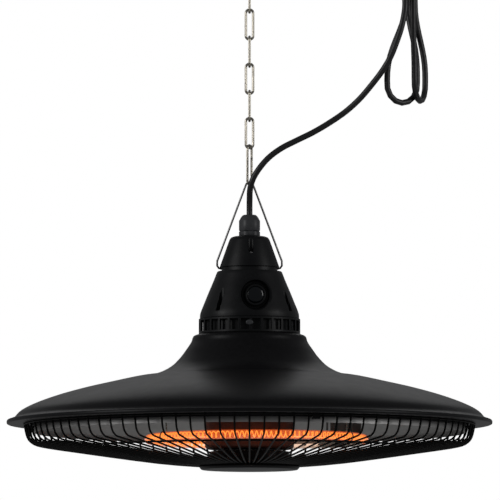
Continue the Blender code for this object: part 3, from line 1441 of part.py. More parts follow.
def build():
    clear_scene()
    ceiling = holder("rim_plane", None, (0, 0, -RIM_DROP))
    make_ceiling_plate(ceiling)
    make_ceiling_hook(ceiling)
    make_cord_hook(ceiling)
    make_chain(ceiling)

    snap = holder("snap_joint", ceiling, (0, 0, LOWEST_LINK_BOTTOM), SNAP_YAW)
    snap_top = holder("snap_top", snap, (0, 0, SNAP_TOP - LOWEST_LINK_BOTTOM))
    make_snap_hook(snap_top)
    gate = holder("gate_joint", snap, (SNAP_WIDTH / 2, 0, SNAP_BOTTOM + GATE_LOW - LOWEST_LINK_BOTTOM))
    make_gate(gate)

    bail_joint = holder("bail_joint", ceiling, (0, 0, SNAP_BOTTOM))
    heater = holder("heater_joint", bail_joint, (0, 0, PIVOT_HEIGHT - SNAP_BOTTOM))
    make_bail(heater)
    body = holder("heater_body", heater, (0, 0, -PIVOT_HEIGHT))
    lamp_middle = holder("lamp_middle", body, (RING_SHIFT, 0, 0))
    lamp = holder("lamp_turn", lamp_middle, (0, 0, 0), RING_TURN)
    make_shade(body)
    make_reflector(body, lamp)
    make_studs(body)
    make_centre_drum(body)
    make_quartz_ring(lamp)
    make_heating_coil(lamp)
    make_ceramic_ends(lamp)
    make_lamp_bracket(lamp)
    make_lamp_leads(lamp)
    make_lamp_clips(lamp_middle)
    make_guard(body)
    make_guard_hub(body)
    make_guard_clips(body)
    make_cord(body)

    yawed = holder("housing_turn", body, (0, 0, 0), HOUSING_YAW)
    make_vent_collar(body)
    make_housing(yawed)
    make_housing_screws(yawed)
    make_button(yawed)
    make_inner_pieces(yawed)
    make_cap(yawed)
    make_gland(yawed)


build()
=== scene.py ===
"""Looks for the hanging heater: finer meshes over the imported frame, materials, light and camera.

Outlines are in millimetres, with heights measured from the shade's rim plane. MM takes them
to metres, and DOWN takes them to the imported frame, whose origin is at the ceiling.
"""

import math

import bmesh
import bpy
from mathutils import Matrix, Vector


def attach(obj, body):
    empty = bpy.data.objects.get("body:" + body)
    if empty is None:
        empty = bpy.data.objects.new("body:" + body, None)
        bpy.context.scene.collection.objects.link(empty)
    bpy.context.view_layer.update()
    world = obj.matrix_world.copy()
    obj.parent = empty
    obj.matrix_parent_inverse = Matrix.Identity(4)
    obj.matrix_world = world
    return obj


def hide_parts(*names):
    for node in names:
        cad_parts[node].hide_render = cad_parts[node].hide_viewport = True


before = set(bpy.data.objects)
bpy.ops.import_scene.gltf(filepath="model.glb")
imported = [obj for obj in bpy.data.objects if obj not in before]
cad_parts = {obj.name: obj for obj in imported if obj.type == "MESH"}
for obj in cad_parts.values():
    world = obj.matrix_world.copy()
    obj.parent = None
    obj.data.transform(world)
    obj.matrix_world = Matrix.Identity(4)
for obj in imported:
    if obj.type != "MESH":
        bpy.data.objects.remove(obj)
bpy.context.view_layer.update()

MM = 0.001
DROP = 634 * MM
YAW = math.radians(8.3)
DOWN = Matrix.Translation((0, 0, -DROP))
TURNED = DOWN @ Matrix.Rotation(YAW, 4, "Z")
TO_FRONT = Matrix.Rotation(math.radians(90), 4, "X")
UP = Vector((0, 0, 1))


# Camera and backdrop

CAMERA_LENS = 700.4
SENSOR_WIDTH = 36
CAMERA_DISTANCE = 12
CAMERA_SIDE = 0.6 * MM
CAMERA_HEIGHT = -620 * MM
TARGET_HEIGHT = 211.8 * MM
WORLD_LEVEL = 0.24
FLOOR_REACH = 4
FLOOR_HEIGHT = -2.6
HEATER_MIDDLE = (0, 0, -0.5)
HEATER_FOOT = (0, 0, -0.6)


def make_camera():
    data = bpy.data.cameras.new("camera")
    data.lens = CAMERA_LENS
    data.sensor_width = SENSOR_WIDTH
    data.clip_end = 50
    camera = bpy.data.objects.new("camera", data)
    bpy.context.collection.objects.link(camera)
    camera.location = (CAMERA_SIDE, -CAMERA_DISTANCE, CAMERA_HEIGHT - DROP)
    tilt = math.atan2(TARGET_HEIGHT - CAMERA_HEIGHT, CAMERA_DISTANCE)
    camera.rotation_euler = (math.radians(90) + tilt, 0, 0)
    bpy.context.scene.camera = camera


def make_world():
    """Plain white behind the heater, and a dimmer light on it."""
    world = bpy.data.worlds.new("studio")
    bpy.context.scene.world = world
    world.use_nodes = True
    tree = world.node_tree
    tree.nodes.clear()
    out = tree.nodes.new("ShaderNodeOutputWorld")
    path = tree.nodes.new("ShaderNodeLightPath")
    seen = tree.nodes.new("ShaderNodeMath")
    seen.operation = "MAXIMUM"
    tree.links.new(path.outputs["Is Camera Ray"], seen.inputs[0])
    tree.links.new(path.outputs["Is Transmission Ray"], seen.inputs[1])
    mix = tree.nodes.new("ShaderNodeMixShader")
    dim = tree.nodes.new("ShaderNodeBackground")
    dim.inputs["Color"].default_value = (0.97, 0.98, 1, 1)
    dim.inputs["Strength"].default_value = WORLD_LEVEL
    white = tree.nodes.new("ShaderNodeBackground")
    white.inputs["Color"].default_value = (1, 1, 1, 1)
    white.inputs["Strength"].default_value = 1
    tree.links.new(seen.outputs[0], mix.inputs[0])
    tree.links.new(dim.outputs[0], mix.inputs[1])
    tree.links.new(white.outputs[0], mix.inputs[2])
    tree.links.new(mix.outputs[0], out.inputs["Surface"])


def make_lamp(name, place, target, size, power):
    data = bpy.data.lights.new(name, "AREA")
    data.shape = "RECTANGLE"
    data.size, data.size_y = size
    data.energy = power
    lamp = bpy.data.objects.new(name, data)
    bpy.context.collection.objects.link(lamp)
    lamp.location = place
    lamp.rotation_euler = (Vector(target) - Vector(place)).to_track_quat("-Z", "Y").to_euler()


def make_floor():
    mesh = bpy.data.meshes.new("floor")
    corners = [(-1, -1), (1, -1), (1, 1), (-1, 1)]
    corners = [(x * FLOOR_REACH, y * FLOOR_REACH, FLOOR_HEIGHT) for x, y in corners]
    mesh.from_pydata(corners, [], [(0, 1, 2, 3)])
    floor = bpy.data.objects.new("floor", mesh)
    bpy.context.collection.objects.link(floor)
    made = bpy.data.materials.new("floor")
    made.use_nodes = True
    shader = made.node_tree.nodes["Principled BSDF"]
    shader.inputs["Base Color"].default_value = (0.86, 0.86, 0.85, 1)
    shader.inputs["Roughness"].default_value = 0.7
    floor.data.materials.append(made)


make_camera()
make_world()
make_floor()
make_lamp("key", (-2.6, -1.3, 0.4), HEATER_MIDDLE, (1.2, 1.4), 50)
make_lamp("fill", (2.6, -1.2, 0.2), HEATER_MIDDLE, (1.2, 1.4), 36)
make_lamp("back", (0, 2.4, 0.9), HEATER_MIDDLE, (2.4, 0.8), 4.5)
make_lamp("under", (0, -1.4, -2.2), HEATER_FOOT, (1.8, 1.4), 4)
bpy.context.scene.view_settings.view_transform = "Standard"


# Materials

LAMP_TURN = math.radians(38)
RING_RADIUS = 133 * MM
RING_SHIFT = 8.6 * MM
RING_HEIGHT = -22.6 * MM
COLD_ANGLE = math.radians(37)
COLD_FADE = 3 * MM
TUBE_GLOW = 0.14


class Finish:
    """A procedural material built up in steps."""

    def __init__(self, name, colour, roughness, metallic=0.0):
        self.material = bpy.data.materials.new(name)
        self.material.use_nodes = True
        self.tree = self.material.node_tree
        self.shader = self.tree.nodes["Principled BSDF"]
        self.colour = colour
        self.roughness = roughness
        self.shader.inputs["Base Color"].default_value = (*colour, 1)
        self.shader.inputs["Roughness"].default_value = roughness
        self.shader.inputs["Metallic"].default_value = metallic
        self.coords = self.tree.nodes.new("ShaderNodeTexCoord")

    def set(self, **values):
        """Set plain values on the shader, with underscores for the blanks in their names."""
        for name, value in values.items():
            self.shader.inputs[name.replace("_", " ")].default_value = value
        return self

    def noise(self, scale, detail=4.0, stretch=None):
        node = self.tree.nodes.new("ShaderNodeTexNoise")
        node.inputs["Scale"].default_value = scale
        node.inputs["Detail"].default_value = detail
        source = self.coords.outputs["Object"]
        if stretch:
            mapping = self.tree.nodes.new("ShaderNodeMapping")
            mapping.inputs["Scale"].default_value = stretch
            self.tree.links.new(source, mapping.inputs["Vector"])
            source = mapping.outputs["Vector"]
        self.tree.links.new(source, node.inputs["Vector"])
        return node

    def spread(self, node, low, high):
        """Send a noise to a range of values."""
        ranged = self.tree.nodes.new("ShaderNodeMapRange")
        ranged.inputs["From Min"].default_value = 0.3
        ranged.inputs["From Max"].default_value = 0.7
        ranged.inputs["To Min"].default_value = low
        ranged.inputs["To Max"].default_value = high
        self.tree.links.new(node.outputs["Fac"], ranged.inputs["Value"])
        return ranged.outputs["Result"]

    def vary_roughness(self, scale, amount):
        out = self.spread(self.noise(scale), self.roughness - amount, self.roughness + amount)
        self.tree.links.new(out, self.shader.inputs["Roughness"])
        return self

    def vary_colour(self, scale, amount):
        mix = self.tree.nodes.new("ShaderNodeMix")
        mix.data_type = "RGBA"
        mix.inputs["A"].default_value = (*[c * (1 - amount) for c in self.colour], 1)
        mix.inputs["B"].default_value = (*[min(c * (1 + amount), 1) for c in self.colour], 1)
        self.tree.links.new(self.spread(self.noise(scale), 0, 1), mix.inputs["Factor"])
        self.tree.links.new(mix.outputs["Result"], self.shader.inputs["Base Color"])
        return self

    def bump(self, scale, strength, distance, stretch=None):
        node = self.tree.nodes.new("ShaderNodeBump")
        node.inputs["Strength"].default_value = strength
        node.inputs["Distance"].default_value = distance
        self.tree.links.new(self.noise(scale, 6.0, stretch).outputs["Fac"], node.inputs["Height"])
        self.tree.links.new(node.outputs["Normal"], self.shader.inputs["Normal"])
        return self

    def glow_where_heated(self, strength):
        """Glow everywhere but near the ring's two ends, where the tube holds no coil."""
        way = Vector((math.cos(LAMP_TURN), math.sin(LAMP_TURN), 0))
        reach = self.tree.nodes.new("ShaderNodeVectorMath")
        reach.operation = "DOT_PRODUCT"
        reach.inputs[1].default_value = way
        self.tree.links.new(self.coords.outputs["Object"], reach.inputs[0])
        fade = self.tree.nodes.new("ShaderNodeMapRange")
        limit = RING_RADIUS * math.cos(COLD_ANGLE) + RING_SHIFT * way.x
        fade.inputs["From Min"].default_value = limit - COLD_FADE
        fade.inputs["From Max"].default_value = limit + COLD_FADE
        fade.inputs["To Min"].default_value = strength
        fade.inputs["To Max"].default_value = 0
        self.tree.links.new(reach.outputs["Value"], fade.inputs["Value"])
        self.tree.links.new(fade.outputs["Result"], self.shader.inputs["Emission Strength"])
        return self


powder = Finish("powder_coat", (0.003, 0.003, 0.0034), 0.4).set(Specular_IOR_Level=0.08)
powder.vary_roughness(60, 0.012).vary_colour(220, 0.25).bump(1400, 0.12, 0.0002)
plastic = Finish("moulded_black", (0.0035, 0.0037, 0.0042), 0.42).set(Specular_IOR_Level=0.1)
plastic.vary_roughness(90, 0.05).vary_colour(300, 0.2).bump(2600, 0.1, 0.00015)
grey = Finish("moulded_grey", (0.02, 0.021, 0.023), 0.5).set(Specular_IOR_Level=0.3)
grey.vary_roughness(120, 0.05).vary_colour(300, 0.15).bump(2600, 0.1, 0.00015)
gloss = Finish("button_gloss", (0.0008, 0.0015, 0.0025), 0.16).set(Specular_IOR_Level=0.25)
gloss.vary_roughness(200, 0.02)
satin = Finish("satin_aluminium", (0.3, 0.295, 0.29), 0.55, 1).vary_roughness(25, 0.05)
satin.vary_colour(14, 0.08).bump(90, 0.1, 0.0004, stretch=(1, 1, 12))
zinc = Finish("zinc_plate", (0.3, 0.28, 0.24), 0.22, 1).vary_roughness(260, 0.07)
zinc.vary_colour(180, 0.12).bump(700, 0.08, 0.0002)
steel = Finish("steel_wire", (0.12, 0.12, 0.12), 0.3, 1).vary_roughness(240, 0.06)
steel.vary_colour(160, 0.12).bump(900, 0.06, 0.0002)
wire_black = Finish("coated_wire", (0.0025, 0.0025, 0.0025), 0.45).set(Specular_IOR_Level=0.04)
wire_black.vary_roughness(200, 0.06).vary_colour(200, 0.3)
rubber = Finish("cord_jacket", (0.004, 0.004, 0.0045), 0.45).set(Specular_IOR_Level=0.3)
rubber.vary_roughness(150, 0.06).vary_colour(120, 0.2)
ceramic = Finish("ceramic", (0.46, 0.42, 0.36), 0.6).vary_roughness(200, 0.05)
ceramic.vary_colour(150, 0.06).bump(900, 0.08, 0.0002)
# Dark metal for the centre drum. Its reddish-brown colour is a painted reflection of the glowing ring
# round it.
drum_painted_reflection = Finish("heat_tinted_drum", (0.1, 0.03, 0.017), 0.45, 0.7).vary_roughness(40, 0.05)
drum_painted_reflection.vary_colour(18, 0.15)
dull_steel = Finish("dull_steel", (0.13, 0.125, 0.12), 0.6, 0.2).vary_roughness(60, 0.04)
dull_steel.vary_colour(90, 0.1)
board = Finish("circuit_board", (0.03, 0.16, 0.07), 0.4).vary_roughness(200, 0.05)
board.vary_colour(400, 0.3)
quartz = Finish("quartz", (1, 0.82, 0.7), 0.03).set(Transmission_Weight=1.0, IOR=1.46)
quartz.set(Emission_Color=(1.0, 0.15, 0.012, 1)).vary_roughness(60, 0.02)
quartz.glow_where_heated(TUBE_GLOW)
glow = Finish("glowing_wire", (0.9, 0.35, 0.06), 0.6).vary_colour(120, 0.2)
glow.set(Emission_Color=(1.0, 0.44, 0.08, 1), Emission_Strength=0.9)


# Outlines and curves


def spun(radius, angle, height):
    """A point in metres at an angle round the heater's axis."""
    return Vector((radius * math.cos(angle), radius * math.sin(angle), height)) * MM


def arc(centre, radius, start, end, steps):
    """Points of an outline along an arc."""
    turn = (end - start) / steps
    angles = [start + turn * n for n in range(steps + 1)]
    return [(centre[0] + radius * math.cos(a), centre[1] + radius * math.sin(a)) for a in angles]


def between(shares, low, high):
    """Points given as shares of the way from one corner to the other."""
    return [(low[0] + (high[0] - low[0]) * a, low[1] + (high[1] - low[1]) * b) for a, b in shares]


def disc(radius, low, high, bevel=0.0):
    """Half section of a disc from one height to another."""
    corners = [(0, high), (radius, high), (radius, low), (0, low)]
    return rounded(corners, bevel) if bevel else corners


def offset(points, distance):
    """The outline moved towards the right of its direction of travel."""
    places = [Vector(p) for p in points]
    moved = []
    for n, here in enumerate(places):
        way = (places[min(n + 1, len(places) - 1)] - places[max(n - 1, 0)]).normalized()
        moved.append(tuple(here + Vector((way.y, -way.x)) * distance))
    return moved


def rounded(outline, radius, steps=3, whole=False):
    """Take the corners off an outline with short arcs, and off its two ends if it is whole."""
    places = [Vector(p) for p in outline]
    found = []
    count = len(places)
    for n, here in enumerate(places):
        if not whole and n in (0, count - 1):
            found.append(tuple(here))
            continue
        before = places[n - 1] - here
        after = places[(n + 1) % count] - here
        reach = min(radius, before.length * 0.45, after.length * 0.45)
        if before.length == 0 or after.length == 0 or before.angle(after) > math.radians(165):
            found.append(tuple(here))
            continue
        start = here + before.normalized() * reach
        end = here + after.normalized() * reach
        for step in range(steps + 1):
            t = step / steps
            found.append(tuple(start * (1 - t) ** 2 + here * 2 * t * (1 - t) + end * t * t))
    return found


def smooth(points, steps):
    """Points along a Catmull-Rom curve of two or three dimensions."""
    places = [Vector(p) for p in points]
    ends = [2 * places[0] - places[1]] + places + [2 * places[-1] - places[-2]]
    found = []
    for n in range(1, len(ends) - 2):
        before, here, there, after = ends[n - 1 : n + 3]
        for step in range(steps):
            t = step / steps
            bent = 2 * here + t * (there - before)
            bent += t * t * (2 * before - 5 * here + 4 * there - after)
            bent += t * t * t * (3 * here - 3 * there + after - before)
            found.append(bent / 2)
    return found + [places[-1]]


# Meshes


def turned_bmesh(outline, sides):
    """Turn an outline in millimetres about Z. A point at radius zero becomes a pole."""
    bm = bmesh.new()
    rings = []
    turn = 2 * math.pi / sides
    for radius, height in outline:
        count = 1 if radius == 0 else sides
        rings.append([bm.verts.new(spun(radius, turn * n, height)) for n in range(count)])
    pairs = list(zip(rings, rings[1:]))
    if outline[0][0] != 0:
        pairs.append((rings[-1], rings[0]))
    for first, second in pairs:
        for n in range(sides):
            m = (n + 1) % sides
            if len(first) == 1:
                bm.faces.new((first[0], second[n], second[m]))
            elif len(second) == 1:
                bm.faces.new((first[n], first[m], second[0]))
            else:
                bm.faces.new((first[n], first[m], second[m], second[n]))
    return bm


def closing_shift(last, first):
    """By how many corners the last ring of a closed tube has to turn to meet the first."""
    sides = len(last)
    spans = []
    for shift in range(sides):
        gaps = [(last[k].co - first[(k + shift) % sides].co).length for k in range(sides)]
        spans.append(sum(gaps))
    return spans.index(min(spans))


def tube_bmesh(points, radius, sides, closed=False, bm=None):
    """A round tube along points in metres, with flat ends where it is open."""
    bm = bm or bmesh.new()
    points = [Vector(p) for p in points]
    count = len(points)
    ways = []
    for n in range(count):
        before = points[n - 1] if closed or n else points[n]
        after = points[(n + 1) % count] if closed or n < count - 1 else points[n]
        ways.append((after - before).normalized())
    side = ways[0].orthogonal().normalized()
    rings = []
    for place, way in zip(points, ways):
        side = (side - way * side.dot(way)).normalized()
        up = way.cross(side)
        ring = []
        for k in range(sides):
            angle = 2 * math.pi * k / sides
            ring.append(bm.verts.new(place + (side * math.cos(angle) + up * math.sin(angle)) * radius))
        rings.append(ring)
    pairs = [(first, second, 0) for first, second in zip(rings, rings[1:])]
    if closed:
        pairs.append((rings[-1], rings[0], closing_shift(rings[-1], rings[0])))
    for first, second, shift in pairs:
        for k in range(sides):
            m = (k + 1) % sides
            bm.faces.new((first[k], first[m], second[(m + shift) % sides], second[(k + shift) % sides]))
    if not closed:
        bm.faces.new(rings[0])
        bm.faces.new(rings[-1])
    return bm


def object_from(name, bm):
    """Put a bmesh into the scene as an object."""
    mesh = bpy.data.meshes.new(name)
    bm.to_mesh(mesh)
    bm.free()
    made = bpy.data.objects.new(name, mesh)
    bpy.context.collection.objects.link(made)
    return made


def cutter(name, outline, sides, at, turn=None):
    """A guide solid for a Boolean step, in the frame of the housing."""
    bm = turned_bmesh(outline, sides)
    if turn is not None:
        bm.transform(turn)
    bm.transform(TURNED @ Matrix.Translation(at))
    bm.normal_update()
    bmesh.ops.recalc_face_normals(bm, faces=bm.faces)
    return object_from(name, bm)


def carve(made, tools):
    """Apply the guide solids to an object, and take them out of the scene."""
    for tool, operation in tools:
        step = made.modifiers.new(tool.name, "BOOLEAN")
        step.operation = operation
        step.object = tool
        step.solver = "EXACT"
    graph = bpy.context.evaluated_depsgraph_get()
    carved = bpy.data.meshes.new_from_object(made.evaluated_get(graph))
    made.modifiers.clear()
    made.data = carved
    for tool, _ in tools:
        bpy.data.objects.remove(tool, do_unlink=True)


def finish_mesh(name, bm, finish, body, slot, replaced, matrix=DOWN, sharp=35, bevel=0.0, tools=()):
    """Turn a bmesh into a piece that rides on a body and stands for CAD nodes."""
    bm.normal_update()
    bmesh.ops.recalc_face_normals(bm, faces=bm.faces)
    if bm.calc_volume(signed=True) < 0:
        bmesh.ops.reverse_faces(bm, faces=bm.faces)
    bm.transform(matrix)
    made = object_from(name, bm)
    if tools:
        carve(made, tools)
    made.data.shade_smooth()
    made.data.set_sharp_from_angle(angle=math.radians(sharp))
    if bevel:
        rounding = made.modifiers.new("edges", "BEVEL")
        rounding.width = bevel
        rounding.segments = 2
        rounding.limit_method = "ANGLE"
        rounding.angle_limit = math.radians(sharp)
        rounding.harden_normals = True
    made.data.materials.clear()
    made.data.materials.append(finish.material)
    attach(made, body)
    if replaced:
        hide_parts(*replaced)
    return made


# Cord, first of the pieces

CORD = 7.4 * MM
CORD_SIDES = 16
ROUTE = [
    (0, 0, 254.2),
    (0, -0.3, 262),
    (0.1, -3, 274),
    (0.8, -9, 287),
    (4.6, -13.6, 299.5),
    (12.5, -15.5, 312.3),
    (24.2, -16, 325.5),
    (40, -16, 337.1),
    (59.7, -16, 347.1),
    (79.4, -16.5, 356.8),
    (99, -17, 368.4),
    (118.8, -18, 382),
    (136.5, -23, 397.8),
    (152.3, -27.5, 416.2),
    (164, -31.5, 431.5),
    (173.9, -34.5, 448),
    (181.8, -36, 467.5),
    (188.2, -36, 487.5),
    (192, -35, 509),
    (191.5, -32.5, 526),
    (188.5, -29.5, 543),
]
ROUTE_STEPS = 6
HANK_LOOPS = 2
HANK_RADIUS = 23 * MM
HANK_PITCH = 9 * MM
HANK_TOP = 606.5 * MM
HANK_BOTTOM = 393.5 * MM
HANK_RUN = HANK_TOP - HANK_BOTTOM - 2 * HANK_RADIUS
HANK_ROUND = 2 * math.pi * HANK_RADIUS + 2 * HANK_RUN
HANK_SIDE = 199.4 * MM
HANK_YAWS = (math.radians(34), math.radians(72))
HANK_PLACES = ((188.5 * MM, -10 * MM, 0), (211 * MM, 4 * MM, 3.5 * MM))
SPLAY_START = 515 * MM
SPLAY_RUN = 85 * MM
TOP_YAW = math.radians(80)
HANK_POINTS = 48
HANK_EXTRA_POINTS = 4
LEAD_IN = 18.3 * MM
LAST_REACH = 17 * MM
TIE_DROP = 8 * MM
TIE_HALF_WIDTH = 5 * MM
TIE_GAP = 0.8 * MM
TIE_WALL = 1.2 * MM
TIE_BEND_STEPS = 16
PLUG_GAP = 0.3
PLUG = [(0, 0), (5.5, 0), (6.5, -8), (11.8, -8), (19, -15.3), (19, -30), (0, -30)]


def eased(share):
    """A share held between 0 and 1, with a slow start and end."""
    share = min(max(share, 0), 1)
    return share * share * (3 - 2 * share)


def pick(values, place):
    """A value between the two that lie next to a place in a list."""
    low = max(0, min(len(values) - 1, math.floor(place)))
    high = min(len(values) - 1, low + 1)
    return values[low] + (values[high] - values[low]) * eased(place - low)


def stadium(phase):
    """Across and up on a long loop, for a phase from 0 to 1 from its top."""
    radius = HANK_RADIUS
    run = HANK_RUN
    along = (phase % 1) * HANK_ROUND
    quarter = math.pi * radius / 2
    if along < quarter:
        return radius * math.sin(along / radius), radius * math.cos(along / radius) - radius
    along -= quarter
    if along < run:
        return radius, -radius - along
    along -= run
    if along < 2 * quarter:
        return radius * math.cos(along / radius), -radius - run - radius * math.sin(along / radius)
    along -= 2 * quarter
    if along < run:
        return -radius, -radius - run + along
    along -= run
    return -radius * math.cos(along / radius), -radius + radius * math.sin(along / radius)


def hank_point(turn):
    """A point of the hank, whose strands lie close at the top and splay below."""
    across, down = stadium(turn)
    share = eased((SPLAY_START - HANK_TOP - down) / SPLAY_RUN)
    loop = turn - 0.5
    yaw = TOP_YAW + (pick(HANK_YAWS, loop) - TOP_YAW) * share
    reach = HANK_PITCH * (turn - HANK_LOOPS / 2)
    reach += LAST_REACH * eased((turn - HANK_LOOPS + 0.06) / 0.14)
    axis = Vector((math.sin(TOP_YAW), -math.cos(TOP_YAW), 0))
    high = Vector((HANK_SIDE, 0, 0)) + axis * reach
    low = Vector([pick([place[n] for place in HANK_PLACES], loop) for n in range(3)])
    out = Vector((math.cos(yaw), math.sin(yaw), 0))
    return high.lerp(low, share) + out * across + Vector((0, 0, HANK_TOP + down))


def cord_path():
    free = [Vector(p) * MM for p in ROUTE]
    turns = range(-HANK_EXTRA_POINTS, HANK_LOOPS * HANK_POINTS + HANK_EXTRA_POINTS + 1)
    hank = [hank_point(n / HANK_POINTS) for n in turns]
    way = (hank[1] - hank[0]).normalized()
    lead = [hank[0] - way * LEAD_IN]
    return smooth(free + lead, ROUTE_STEPS)[:-1] + [lead[0]] + hank


def make_cord():
    points = cord_path()
    bm = tube_bmesh(points, CORD / 2, CORD_SIDES)
    cord = finish_mesh("cord", bm, rubber, "heater", "rubber", ["power_cord", "cord_hank"])
    tie = finish_mesh("tie", tie_bmesh(), rubber, "heater", "rubber", ["cord_tie"], bevel=0.4 * MM)
    plug = make_plug(points[-1])


def tie_bmesh():
    """A flat strap round the strands, close under their folds."""
    turn = (math.pi * HANK_RADIUS / 2 + TIE_DROP) / HANK_ROUND
    first = hank_point(turn)
    last = hank_point(HANK_LOOPS - 1 + turn)
    way = (first - last).normalized()
    side = Vector((-way.y, way.x, 0))
    middle = HANK_TOP - HANK_RADIUS - TIE_DROP
    inner = CORD / 2 + TIE_GAP
    outer = inner + TIE_WALL
    foot, head = -TIE_HALF_WIDTH, TIE_HALF_WIDTH
    bm = bmesh.new()
    rings = []
    for radius, height in ((inner, foot), (outer, foot), (outer, head), (inner, head)):
        ring = []
        for centre, start in ((first, -math.pi / 2), (last, math.pi / 2)):
            for n in range(TIE_BEND_STEPS + 1):
                angle = start + math.pi * n / TIE_BEND_STEPS
                place = centre + (way * math.cos(angle) + side * math.sin(angle)) * radius
                ring.append(bm.verts.new((place.x, place.y, middle + height)))
        rings.append(ring)
    for here, there in zip(rings, rings[1:] + rings[:1]):
        for n in range(len(here)):
            m = (n + 1) % len(here)
            bm.faces.new((here[n], here[m], there[m], there[n]))
    return bm


def make_plug(end):
    """The plug's moulding, with its collar under the cord's end."""
    top = end.z / MM - PLUG_GAP
    bm = turned_bmesh(rounded([(r, z + top) for r, z in PLUG], 1.6), 48)
    bm.transform(Matrix.Translation((end.x, end.y, 0)))
    return finish_mesh("plug", bm, rubber, "heater", "rubber", ["plug_body"])


make_cord()


# Shade and reflector

NECK_SHARES = [(0, 1), (0.12, 0.94), (0.17, 0.8), (0.28, 0.62), (0.44, 0.39), (0.66, 0.17), (1, 0)]
BELL_SHARES = [
    (0.14, 0.93),
    (0.33, 0.797),
    (0.52, 0.656),
    (0.7, 0.494),
    (0.85, 0.322),
    (0.95, 0.161),
    (1, 0),
]
DISH_SHARES = [(0.28, 0.97), (0.5, 0.86), (0.72, 0.66), (0.88, 0.42), (0.965, 0.2), (1, 0)]
NECK_RADIUS = 63
NECK_TOP = 107.4
SHOULDER_RADIUS = 116
SHOULDER_HEIGHT = 58.2
BELL_RADIUS = 291
BELL_FOOT = 3.5
LIP = [(BELL_RADIUS, BELL_FOOT), (300, 0.6), (300, -4), (270, -3.5)]
SKIRT_RADIUS = 270
SKIRT_TOP = -3.5
SKIRT_FOOT = -7.6
SHADE_WALL = 1.6
NECK_HOLE_RADIUS = 30
DISH_HOLE_RADIUS = 24
DISH_RADIUS = 266
DISH_TOP = 42
DISH_FOOT = -8
DISH_RIM_FOOT = -14.5
DRUM = [
    (0, -35),
    (52, -35),
    (55, -32),
    (55, 40.3),
    (53.8, 40.3),
    (53.8, -32),
    (52, -33.8),
    (0, -33.8),
]


def make_shade():
    neck = between(NECK_SHARES, (NECK_RADIUS, SHOULDER_HEIGHT), (SHOULDER_RADIUS, NECK_TOP))
    bell = between(BELL_SHARES, (SHOULDER_RADIUS, BELL_FOOT), (BELL_RADIUS, SHOULDER_HEIGHT))
    outer = smooth(neck + bell, 5)
    inner = offset(outer, SHADE_WALL)
    lip = rounded(LIP, 1.8, steps=4)[1:-1]
    skirt_inner = SKIRT_RADIUS - SHADE_WALL
    under_lip = SKIRT_TOP + SHADE_WALL
    skirt = [(SKIRT_RADIUS, SKIRT_TOP), (SKIRT_RADIUS, SKIRT_FOOT)]
    skirt += [(skirt_inner, SKIRT_FOOT), (skirt_inner, under_lip)]
    under = [(inner[-1][0], under_lip)] + inner[:2:-1]
    neck_under = NECK_TOP - SHADE_WALL
    top = [(NECK_RADIUS - SHADE_WALL, neck_under), (NECK_HOLE_RADIUS, neck_under)]
    top += [(NECK_HOLE_RADIUS, NECK_TOP)]
    bm = turned_bmesh([tuple(p) for p in outer + lip + skirt + under + top], 192)
    finish_mesh("shade_shell", bm, powder, "heater", "powder_black", ["shade"], sharp=50)


def make_reflector():
    bowl = between(DISH_SHARES, (DISH_HOLE_RADIUS, DISH_FOOT), (DISH_RADIUS, DISH_TOP))
    outer = smooth([(DISH_HOLE_RADIUS, DISH_TOP)] + bowl, 6) + [Vector((DISH_RADIUS, DISH_RIM_FOOT))]
    inner = offset(outer, 1)
    bm = turned_bmesh([tuple(p) for p in outer + inner[::-1]], 144)
    finish_mesh("reflector_dish", bm, satin, "heater", "aluminium", ["reflector"], sharp=50)
    bm = turned_bmesh(rounded(DRUM, 1.2), 96)
    # The drum's reddish-brown finish is a painted reflection of the glowing ring.
    finish_mesh("drum", bm, drum_painted_reflection, "heater", "aluminium", ["centre_drum"])


make_shade()
make_reflector()


# Ring lamp

TUBE_OUTER = 5.6 * MM
TUBE_INNER = 4.8 * MM
TUBE_GAP = math.radians(14)
TUBE_STEPS = 180
TUBE_SIDES = 16
COIL_RADIUS = 3.8 * MM
COIL_WIRE_RADIUS = 0.58 * MM
COIL_GAP = math.radians(36)
COIL_CURLS = 112
CURL_STEPS = 10
CLIP_ANGLES = (math.radians(-32), math.radians(-148))
CLIP_RADIUS = 6.6 * MM
CLIP_WIRE_RADIUS = 0.9 * MM
CLIP_START = math.radians(115)
CLIP_SWEEP = math.radians(310)
CLIP_STEPS = 20
CLIP_STEM = [(-1, 26), (-2.4, 13)]


def ring_place(angle, around=0.0, reach=0.0):
    """A point of the ring lamp's circle, or one at a reach from it in the tube's section."""
    radius = RING_RADIUS + reach * math.cos(around)
    height = RING_HEIGHT + reach * math.sin(around)
    return Vector((radius * math.cos(angle) + RING_SHIFT, radius * math.sin(angle), height))


def round_lamp(gap, steps):
    """Angles along the ring, which is open on both sides of LAMP_TURN by a gap."""
    sweep = 2 * math.pi - 2 * gap
    return [LAMP_TURN + gap + sweep * n / steps for n in range(steps + 1)]


def make_quartz_tube():
    bm = bmesh.new()
    rows = []
    for angle in round_lamp(TUBE_GAP, TUBE_STEPS):
        row = []
        for radius in (TUBE_OUTER, TUBE_INNER):
            turns = [2 * math.pi * side / TUBE_SIDES for side in range(TUBE_SIDES)]
            row.append([bm.verts.new(ring_place(angle, turn, radius)) for turn in turns])
        rows.append(row)
    for first, second in zip(rows, rows[1:]):
        for k in range(TUBE_SIDES):
            m = (k + 1) % TUBE_SIDES
            bm.faces.new((first[0][k], first[0][m], second[0][m], second[0][k]))
            bm.faces.new((first[1][m], first[1][k], second[1][k], second[1][m]))
    for outer, inner in (rows[0], rows[-1]):
        for k in range(TUBE_SIDES):
            m = (k + 1) % TUBE_SIDES
            bm.faces.new((outer[k], outer[m], inner[m], inner[k]))
    finish_mesh("quartz_tube", bm, quartz, "heater", "quartz", ["quartz_ring"], sharp=60)


